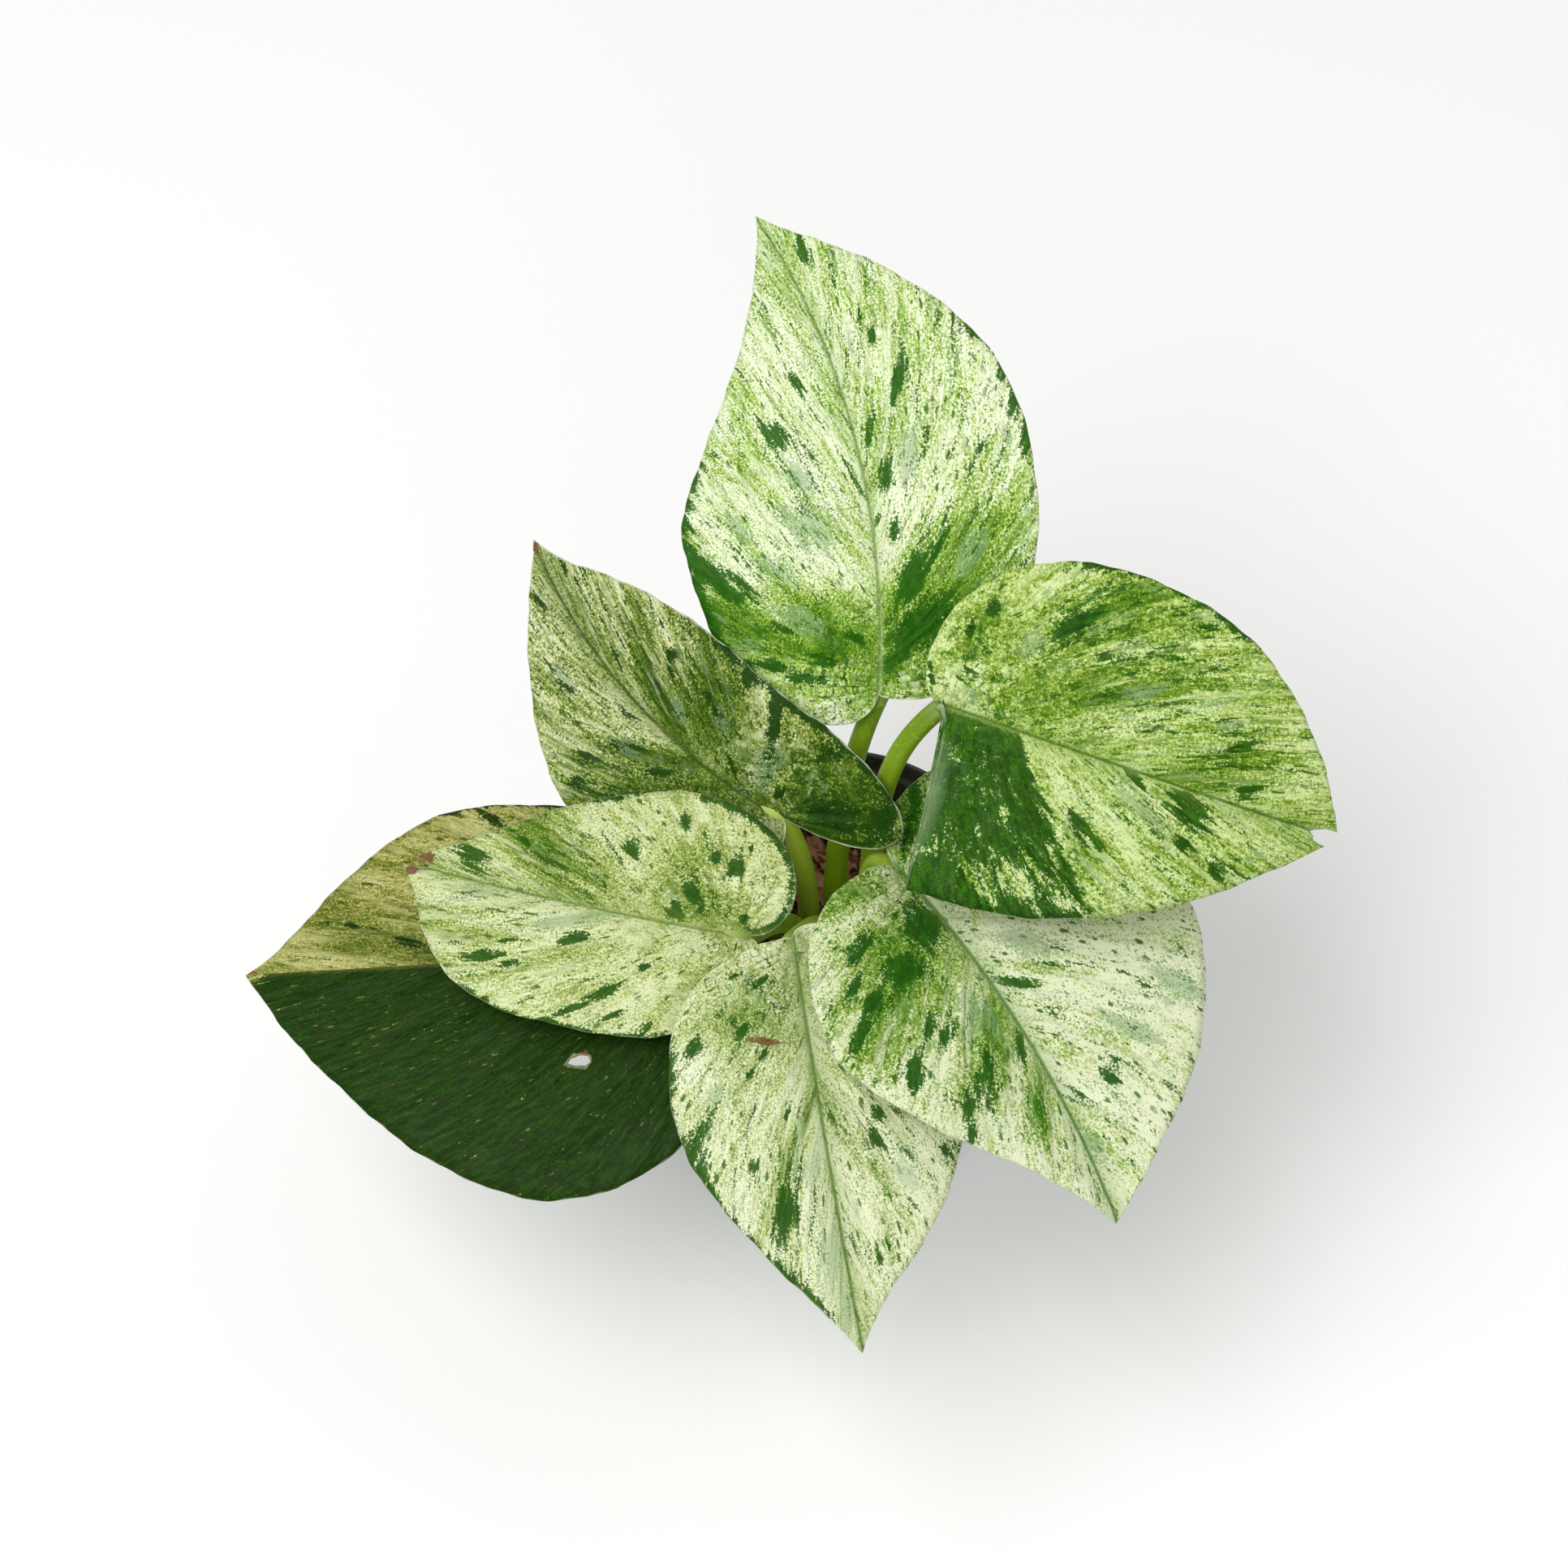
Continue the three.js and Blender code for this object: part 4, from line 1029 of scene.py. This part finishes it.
def sectionRing(tree, given):
    # a flattened ring with a groove on its +X side, which remembers where the sheath's wings stand
    ring = addNode(tree, "GeometryNodeCurvePrimitiveCircle", {
        "Resolution": given["Sides"], "Radius": 1.0}).outputs[0]
    spot = addNode(tree, "GeometryNodeInputPosition").outputs[0]
    ringAt = addNode(tree, "ShaderNodeSeparateXYZ", {0: spot}).outputs
    hollow = bell(tree, calc(tree, "DIVIDE", ringAt["Y"], given["Groove Width"]))
    front = remap(tree, ringAt["X"], -0.1, 0.25, 0.0, 1.0)
    hollow = calc(tree, "MULTIPLY", hollow, given["Groove Depth"])
    hollow = calc(tree, "MULTIPLY", hollow, front)
    deep = calc(tree, "SUBTRACT", 1.0, hollow)
    deep = calc(tree, "MULTIPLY", deep, given["Flattening"])
    newX = calc(tree, "MULTIPLY", ringAt["X"], deep)
    shaped = addNode(tree, "ShaderNodeCombineXYZ", {"X": newX, "Y": ringAt["Y"]}).outputs[0]
    wing = calc(tree, "ABSOLUTE", ringAt["Y"])
    wing = calc(tree, "ADD", wing, -stalk["wingPlace"])
    wing = bell(tree, calc(tree, "DIVIDE", wing, stalk["wingWidth"]))
    wing = calc(tree, "MULTIPLY", wing, front)
    ring = store(tree, ring, "wing", wing)
    ring = store(tree, ring, "around", ringAt["Y"])
    return moved(tree, ring, Position=shaped)


def sweepTree():
    tree, given = startTree("grooved stalk", {**stalk["section"], "Material": ""})
    path = addNode(tree, "GeometryNodeMeshToCurve", {"Mesh": given["Geometry"]}).outputs[0]
    path = addNode(tree, "GeometryNodeResampleCurve", {"Curve": path, "Count": given["Steps"]}).outputs[0]
    turn = calc(tree, "RADIANS", given["Groove Heading"])
    path = addNode(tree, "GeometryNodeSetCurveTilt", {"Curve": path, "Tilt": turn}).outputs[0]
    along = addNode(tree, "GeometryNodeSplineParameter").outputs["Factor"]
    path = store(tree, path, "along", along)
    curveNormal = addNode(tree, "GeometryNodeInputNormal").outputs[0]
    path = store(tree, path, "grooveSide", curveNormal, "FLOAT_VECTOR")
    ring = sectionRing(tree, given)
    # the width: a straight taper, a swelling at the node and a thin end under the blade
    width = remap(tree, along, 0.0, 1.0, given["Foot Width"], given["Top Width"])
    bulge = calc(tree, "SUBTRACT", along, given["Node Place"])
    bulge = bell(tree, calc(tree, "DIVIDE", bulge, given["Node Length"]))
    width = calc(tree, "MULTIPLY_ADD", bulge, given["Swelling"], width)
    knee = remap(tree, along, given["Knee Start"], 1.0, 1.0, given["Knee Width"], smooth=True)
    width = calc(tree, "MULTIPLY", width, knee)
    scale = calc(tree, "MULTIPLY", width, 0.5 * mm)
    tube = addNode(tree, "GeometryNodeCurveToMesh", {
        "Curve": path, "Profile Curve": ring, "Scale": scale, "Fill Caps": True}).outputs[0]
    # the sheath's two wings rise beside the groove and fade out upwards
    kinds = (("along", "FLOAT"), ("wing", "FLOAT"), ("grooveSide", "FLOAT_VECTOR"))
    kept = {key: stored(tree, key, kind) for key, kind in kinds}
    fade = remap(tree, kept["along"], 0.0, given["Wing End"], given["Wing Height"], 0.0, smooth=True)
    stand = calc(tree, "MULTIPLY", fade, kept["wing"])
    stand = calc(tree, "MULTIPLY", stand, mm)
    tube = moved(tree, tube, Offset=scaledVector(tree, kept["grooveSide"], stand))
    tube = addNode(tree, "GeometryNodeSetShadeSmooth", {"Geometry": tube, "Shade Smooth": True}).outputs[0]
    endTree(tree, tube, given["Material"])
    return tree


def stalkPath(leaf):
    # straight up out of the mix, over to the sinus from below, then a short knee along the midrib
    shape, section = leaf["stalk"], stalk["section"]
    spot, tangent, across, normal = midribFrame(leaf, 0.0)
    arrive = direction(shape["heading"], shape["climb"])
    tilt = math.sqrt(1 - float(arrive @ normal) ** 2)
    under = blade["skin"]["Thickness"] / 2 + stalk["gap"] + section["Top Width"] / 2 * tilt
    end = np.array(leaf["base"]) - normal * under
    low = np.array([*shape["foot"], stalk["soilTop"] - stalk["holeDepth"] + stalk["gap"]])
    u = np.linspace(0, 1, section["Steps"])[:, None]
    rise = bezier(low, low + [0, 0, shape["lift"]], end - shape["reach"] * arrive, end, u)
    spot, tangent, across, normal = midribFrame(leaf, stalk["kneeAhead"])
    far = spot - normal * stalk["kneeDepth"]
    u = np.linspace(stalk["kneeStart"], 1, stalk["kneeSteps"])[:, None]
    first, second = stalk["kneeHandles"]
    knee = bezier(end, end + first * arrive, far - second * tangent, far, u)
    return np.vstack([rise, knee])


def stalkMaterial(name, low, middle, high, edge):
    # a satin green stalk with light streaks, a paler knee and fine dots; the sheath's edge is dry
    material, tree, shader = startMaterial(name, 0.42, 0.22)
    along, around, wing = (readField(tree, key) for key in ("along", "around", "wing"))
    spot = addNode(tree, "ShaderNodeCombineXYZ", {"X": around, "Y": along}).outputs[0]
    streak = noiseOf(tree, mapped(tree, spot, Scale=(6, 3, 1)), 1.6, 5.0, roughness=0.6)
    fine = noiseOf(tree, objectPlace(tree), 1400.0, 3.0)
    rise = remap(tree, along, 0.15, 0.95, 0.0, 1.0)
    # from the foot's colour up to the top's; for the leaf stalks this carries painted light at the foot
    tone = blend(tree, rise, low, middle)
    lit = remap(tree, streak, 0.45, 0.7, 0.0, 0.6)
    tone = blend(tree, lit, tone, high)
    knee = remap(tree, along, 0.88, 0.98, 0.0, 0.55)
    tone = blend(tree, knee, tone, kneeColour)
    dots = remap(tree, fine, 0.6, 0.68, 0.0, 0.4)
    tone = blend(tree, dots, tone, low)
    dry = remap(tree, along, 0.25, 0.55, 0.8, 0.0)
    dry = calc(tree, "MULTIPLY", dry, wing)
    tone = blend(tree, dry, tone, edge)
    tree.links.new(tone, shader.inputs["Base Color"])
    tree.links.new(bumped(tree, 0.4, 0.0003, streak), shader.inputs["Normal"])
    return material


sweep = sweepTree()
stalkMaterials = {shade: stalkMaterial(*finish) for shade, finish in stalkFinishes.items()}
for name, leaf in leaves.items():
    piece = addPath("stalk_" + name + "_finished", stalkPath(leaf))
    wearTree(piece, sweep, {
        **stalk["section"], "Groove Heading": float(leaf["heading"]),
        "Material": stalkMaterials[stalkShades.get(name, "green")]})
    piece = settle(piece)
    place(piece, "stalks", "stalk_" + name)

low = np.array([*stem["foot"], stalk["soilTop"] - stalk["holeDepth"] + stalk["gap"]])
high = np.array([*stem["top"], stalk["soilTop"] + stem["height"]])
path = low + (high - low) * np.linspace(0, 1, 40)[:, None]
piece = addPath("vine_stem_finished", path)
stemMaterial = stalkMaterial("woody green vine stem", "#4a4a1c", "#6c7a35", "#8f8a55", "#7d6440")
wearTree(piece, sweep, {**stalk["section"], **stem["section"], "Material": stemMaterial})
piece = settle(piece)
place(piece, "vine_stem", "vine_stem")
print("stalks ready")


# Potting mix: a rough bed of coco husk with chips and fibres on top

mix = {
    "low": 1.5, "top": stalk["soilTop"], "lowRadius": 25.42, "topRadius": 28.38, "corner": 1.5,
    # the wall ends this far below the top, and the rough top starts this far inside it
    "shoulder": 1.5, "inset": 0.3,
    "rings": 56, "sides": 120, "relief": 0.8, "crumbs": 0.9,
    # the area of its top, for the litter, in square metres
    "area": 0.0025,
}


def mixPoints():
    points = [(0.0, 0.0, mix["low"])]
    angles = np.arange(mix["sides"]) * 2 * np.pi / mix["sides"]
    wall = [
        (mix["lowRadius"] - mix["corner"], mix["low"]),
        (mix["lowRadius"], mix["low"] + mix["corner"]),
        (mix["topRadius"] - 0.05, mix["top"] - mix["shoulder"]),
    ]
    for radius, z in wall:
        points.extend((radius * math.cos(a), radius * math.sin(a), z) for a in angles)
    for ring in range(mix["rings"], 0, -1):
        radius = (mix["topRadius"] - mix["inset"]) * ring / mix["rings"]
        for a in angles:
            x, y = radius * math.cos(a), radius * math.sin(a)
            bumps = math.sin(0.9 * x + 0.4 * y) * math.sin(0.7 * y - 0.5 * x + 1)
            rough = noise.fractal(Vector((x, y, 3.0)) * 0.45, 0.8, 2.0, 4)
            points.append((x, y, mix["top"] + mix["relief"] * bumps + mix["crumbs"] * rough))
    points.append((0.0, 0.0, mix["top"]))
    return points


points = mixPoints()
sides, bands = mix["sides"], mix["rings"] + 2
faces = [(0, 1 + (k + 1) % sides, 1 + k) for k in range(sides)]
for band in range(bands):
    for k in range(sides):
        a, b = 1 + band * sides + k, 1 + band * sides + (k + 1) % sides
        faces.append((a, b, b + sides, a + sides))
last = 1 + bands * sides
faces += [(last + k, last + (k + 1) % sides, len(points) - 1) for k in range(sides)]
bed = addPiece("potting_mix_finished", points, [], faces)

# moist chopped husk, from near black to tan, matt; each loose bit has its own tone
huskMaterial, tree, shader = startMaterial("chopped coco husk", 0.85, 0.25)
where = objectPlace(tree)
tone = readField(tree, "tone")
crumb = noiseOf(tree, where, 420.0, 6.0, roughness=0.7)
strand = noiseOf(tree, mapped(tree, where, Scale=(1, 5, 1), Rotation=(0, 0, 0.6)), 700.0, 3.0)
mixed = calc(tree, "ADD", crumb, tone)
ramp = addNode(tree, "ShaderNodeValToRGB", {0: remap(tree, mixed, 0.35, 1.5, 0.0, 1.0)})
ramp.color_ramp.elements[0].color = linearColour("#1e0f08")
ramp.color_ramp.elements[1].color = linearColour("#c08c6e")
for spot, shade in ((0.3, "#4a2918"), (0.6, "#8a5540")):
    ramp.color_ramp.elements.new(spot).color = linearColour(shade)
bright = remap(tree, strand, 0.5, 0.75, 0.0, 0.5)
colour = blend(tree, bright, ramp.outputs[0], "#c09876")
tree.links.new(colour, shader.inputs["Base Color"])
tree.links.new(bumped(tree, 0.8, 0.0008, crumb), shader.inputs["Normal"])
bed.data.materials.append(huskMaterial)

# chalky cream grain, pitted and matt
paleMaterial, tree, shader, pits = speckledMaterial(
    "pale mineral grain", 0.9, 0.2, 900.0, 4.0, "#b9a98f", "#f0e7d2")
tree.links.new(bumped(tree, 0.6, 0.0004, pits), shader.inputs["Normal"])


def scatterTree():
    # drops copies of one shape at random on the level part of the bed
    tree, given = startTree("scatter on the mix", {
        "Object": "", "Count": 100, "Seed": 1, "Smallest": 0.5, "Largest": 1.2, "Lean": 0.6, "Sink": 0.3,
        "Lowest": 60.0, "Farthest": 25.0, "Material": ""})
    at = addNode(tree, "GeometryNodeInputPosition").outputs[0]
    height = addNode(tree, "ShaderNodeSeparateXYZ", {0: at}).outputs["Z"]
    floorLevel = calc(tree, "MULTIPLY", given["Lowest"], mm)
    level = calc(tree, "GREATER_THAN", height, floorLevel)
    # how far out the middle of a piece may lie, so that its ends stay inside the pot
    flatAt = addNode(tree, "ShaderNodeVectorMath", {
        0: at, 1: (1.0, 1.0, 0.0)}, operation="MULTIPLY").outputs[0]
    out = addNode(tree, "ShaderNodeVectorMath", {0: flatAt}, operation="LENGTH").outputs["Value"]
    limit = calc(tree, "MULTIPLY", given["Farthest"], mm)
    near = calc(tree, "LESS_THAN", out, limit)
    level = calc(tree, "MULTIPLY", level, near)
    density = calc(tree, "DIVIDE", given["Count"], mix["area"])
    spots = addNode(tree, "GeometryNodeDistributePointsOnFaces", {
        "Mesh": given["Geometry"], "Selection": level, "Density": density, "Seed": given["Seed"]})
    lean = calc(tree, "MULTIPLY", given["Lean"], -1.0)
    least = addNode(tree, "ShaderNodeCombineXYZ", {"X": lean, "Y": lean, "Z": 0.0}).outputs[0]
    most = addNode(tree, "ShaderNodeCombineXYZ", {
        "X": given["Lean"], "Y": given["Lean"], "Z": 6.283}).outputs[0]
    angles = addNode(tree, "FunctionNodeRandomValue", {
        "Min": least, "Max": most, "Seed": given["Seed"]}, data_type="FLOAT_VECTOR").outputs[0]
    sizes = addNode(tree, "FunctionNodeRandomValue", {
        2: given["Smallest"], 3: given["Largest"], "Seed": given["Seed"]}, data_type="FLOAT").outputs[1]
    shape = addNode(tree, "GeometryNodeObjectInfo", {"Object": given["Object"]}).outputs["Geometry"]
    copies = addNode(tree, "GeometryNodeInstanceOnPoints", {
        "Points": spots.outputs["Points"], "Instance": shape, "Rotation": angles, "Scale": sizes}).outputs[0]
    tone = addNode(tree, "FunctionNodeRandomValue", {
        2: 0.0, 3: 1.0, "Seed": given["Seed"]}, data_type="FLOAT").outputs[1]
    copies = store(tree, copies, "tone", tone, domain="INSTANCE")
    sink = calc(tree, "MULTIPLY", given["Sink"], -mm)
    down = addNode(tree, "ShaderNodeCombineXYZ", {"Z": sink}).outputs[0]
    lowered = addNode(tree, "GeometryNodeTranslateInstances", {
        "Instances": copies, "Translation": down, "Local Space": False}).outputs[0]
    endTree(tree, lowered, given["Material"])
    return tree


def chipShape(name, long, wide, thick, seed):
    # a split piece of husk: a low block of three by two cells with its corners moved about
    picker = np.random.default_rng(seed)
    points, faces = [], []
    columns, lines = 4, 3
    loose = (0.12 * long, 0.14 * wide, 0.3 * thick)
    for level in (-1, 1):
        for i in range(columns):
            for k in range(lines):
                x = (i / (columns - 1) - 0.5) * long
                y = (k / (lines - 1) - 0.5) * wide * (1 - 0.5 * abs(2 * i / (columns - 1) - 1))
                points.append(np.array([x, y, level * thick / 2]) + picker.uniform(-1, 1, 3) * loose)
    layer = columns * lines
    for i in range(columns - 1):
        for k in range(lines - 1):
            a = i * lines + k
            faces.append((a, a + 1, a + lines + 1, a + lines))
            faces.append((layer + a, layer + a + lines, layer + a + lines + 1, layer + a + 1))
    around = [i * lines for i in range(columns)]
    around += [(columns - 1) * lines + k for k in range(1, lines)]
    around += [i * lines + lines - 1 for i in range(columns - 2, -1, -1)]
    around += [k for k in range(lines - 2, 0, -1)]
    for a, b in zip(around, around[1:] + around[:1]):
        faces.append((a, b, layer + b, layer + a))
    return addPiece(name, points, [], faces)


def fibreShape(name, long, bend, arch, thick):
    # one bent three-sided strand of husk fibre, thinner towards its ends
    points, faces = [], []
    steps = 9
    for step in range(steps):
        u = step / (steps - 1)
        centre = np.array([long * (u - 0.5), bend * math.sin(3 * u), 0.5 + arch * math.sin(math.pi * u)])
        width = thick * (1 - 0.7 * abs(2 * u - 1))
        for k in range(3):
            angle = 2 * math.pi * k / 3
            points.append(centre + [0, width * math.cos(angle), width * math.sin(angle)])
    for step in range(steps - 1):
        for k in range(3):
            a, b = step * 3 + k, step * 3 + (k + 1) % 3
            faces.append((b, b + 3, a + 3, a))
    faces += [(2, 1, 0), (len(points) - 3, len(points) - 2, len(points) - 1)]
    return addPiece(name, points, [], faces)


scatter = scatterTree()
lowestLitter = 62.0  # above the slope beside the pot's wall
litterInputs = ("Count", "Seed", "Smallest", "Largest", "Lean", "Sink", "Farthest")
litters = [
    # name, finish, shape, and the numbers of litterInputs
    ("husk_chips", huskMaterial, chipShape("chip", 4.2, 2.6, 1.0, 4),
     (300, 3, 0.45, 1.3, 0.55, 0.1, 25.2)),
    ("husk_splinters", huskMaterial, chipShape("splinter", 6.0, 1.4, 0.7, 9),
     (220, 8, 0.5, 1.3, 0.5, 0.1, 24.0)),
    ("husk_crumbs", huskMaterial, chipShape("crumb", 4.2, 2.6, 1.6, 5),
     (420, 6, 0.18, 0.42, 0.8, 0.0, 26.6)),
    ("husk_fibres", huskMaterial, fibreShape("fibre", 14, 2.5, 0.9, 0.14),
     (170, 5, 0.4, 1.1, 0.35, 0.0, 20.0)),
    ("pale_grains", paleMaterial, chipShape("grain", 1.9, 1.7, 1.4, 6),
     (14, 2, 0.6, 1.2, 1.5, 0.0, 26.0)),
]
for name, finish, shape, sizes in litters:
    litter = bpy.data.objects.new(name, bed.data.copy())
    collection.objects.link(litter)
    wearTree(litter, scatter, {
        "Object": shape, **dict(zip(litterInputs, sizes)), "Lowest": lowestLitter, "Material": finish})
    litter = settle(litter)
    bpy.data.objects.remove(shape)
    place(litter, "potting_mix")
bed.data.attributes.new("tone", "FLOAT", "POINT")
place(bed, "potting_mix", "potting_mix")
print("potting mix ready")


# Pot: a thin turned wall with a stepped rim band, pale outside and charcoal inside, and drain holes

pot = {
    # radius and height of each point, from the middle of the underside up and over the rim
    "outside": [
        (0, 0), (24.6, 0), (25.5, 0.1), (26.2, 0.35), (26.75, 0.85), (27, 1.5), (28.1, 24), (29.2, 47),
        (30.4, 70.9), (30.6, 71.05), (31.2, 71.15), (31.45, 71.4), (31.5, 71.9), (31.5, 75.3),
        (31.42, 75.7), (31.2, 75.93), (30.9, 76),
    ],
    "inside": [
        (30.55, 75.93), (30.38, 75.75), (30.3, 75.4), (30.3, 72.9), (30.1, 72.2), (29.6, 71.8),
        (29.2, 71.5), (27.5, 37), (25.8, 2.7), (25.4, 1.7), (24.3, 1.2), (0, 1.2),
    ],
    "sides": 160, "holes": {"Holes": 6, "Diameter": 5.0, "Ring Radius": 17.0},
    # what tells the charcoal side: the wall's foot and flare, the rim band's foot and inside, the lip
    "footRadius": 27, "flare": 3.4 / 71, "bandFoot": 71.2, "bandInside": 30.9, "lip": 75.9,
    "floorTop": 1.2, "wallInside": 0.7,
}


def plasticMaterial(name, base, worn, roughness):
    # thin moulded plastic with cloudy wear and fine upright scuffs that vary its gloss
    material, tree, shader = startMaterial(name, roughness, 0.5)
    where = objectPlace(tree)
    cloud = noiseOf(tree, where, 60.0, 5.0)
    scuff = noiseOf(tree, mapped(tree, where, Scale=(1, 1, 14)), 90.0, 6.0, roughness=0.7)
    amount = remap(tree, cloud, 0.4, 0.7, 0.0, 0.6)
    tone = blend(tree, amount, base, worn)
    tree.links.new(tone, shader.inputs["Base Color"])
    gloss = remap(tree, scuff, 0.3, 0.7, roughness - 0.08, roughness + 0.14)
    tree.links.new(gloss, shader.inputs["Roughness"])
    tree.links.new(bumped(tree, 0.25, 0.00012, scuff), shader.inputs["Normal"])
    return material


def drainTree():
    # cuts a ring of round holes through the bottom
    tree, given = startTree("drain holes", {**pot["holes"], "Material": ""})
    ringRadius = calc(tree, "MULTIPLY", given["Ring Radius"], mm)
    holeRadius = calc(tree, "MULTIPLY", given["Diameter"], 0.5 * mm)
    circle = addNode(tree, "GeometryNodeMeshCircle", {
        "Vertices": given["Holes"], "Radius": ringRadius}).outputs[0]
    drill = addNode(tree, "GeometryNodeMeshCylinder", {
        "Vertices": 32, "Radius": holeRadius, "Depth": 8 * mm}).outputs["Mesh"]
    drills = addNode(tree, "GeometryNodeInstanceOnPoints", {"Points": circle, "Instance": drill}).outputs[0]
    drills = addNode(tree, "GeometryNodeRealizeInstances", {"Geometry": drills}).outputs[0]
    drilled = addNode(tree, "GeometryNodeMeshBoolean", {
        "Mesh 1": given["Geometry"], "Mesh 2": drills}, operation="DIFFERENCE")
    endTree(tree, drilled.outputs["Mesh"], given["Material"])
    return tree


def isCharcoal(x, y, z):
    # whether a face in this place lies on the lip, inside the rim band, inside the wall or on the floor
    radius = math.hypot(x, y)
    inBand = z > pot["bandFoot"] and radius < pot["bandInside"]
    wall = pot["footRadius"] + pot["flare"] * z
    inWall = pot["floorTop"] + 0.1 < z <= pot["bandFoot"] and radius < wall - pot["wallInside"]
    return z > pot["lip"] or inBand or inWall or abs(z - pot["floorTop"]) < 0.05


piece = addPath("pot_finished", [(radius, 0, z) for radius, z in pot["outside"] + pot["inside"]])
turning = piece.modifiers.new("turning", "SCREW")
turning.axis = "Z"
turning.angle = 2 * math.pi
turning.steps = pot["sides"]
turning.render_steps = pot["sides"]
turning.use_merge_vertices = True
turning.merge_threshold = 0.01 * mm
turning.use_normal_calculate = True

drains = drainTree()
palePlastic = plasticMaterial("pale matte plastic", "#d6d7e2", "#c9cad6", 0.45)
darkPlastic = plasticMaterial("charcoal matte plastic", "#3d3d42", "#4a494f", 0.4)
wearTree(piece, drains, {**pot["holes"], "Material": palePlastic})
piece = settle(piece)

piece.data.materials.clear()
piece.data.materials.append(palePlastic)
piece.data.materials.append(darkPlastic)
for face in piece.data.polygons:
    face.material_index = 1 if isCharcoal(*(face.center / mm)) else 0
    face.use_smooth = True
piece.data.set_sharp_from_angle(angle=math.radians(35))
place(piece, "pot_plastic", "pot")
print("pot ready")
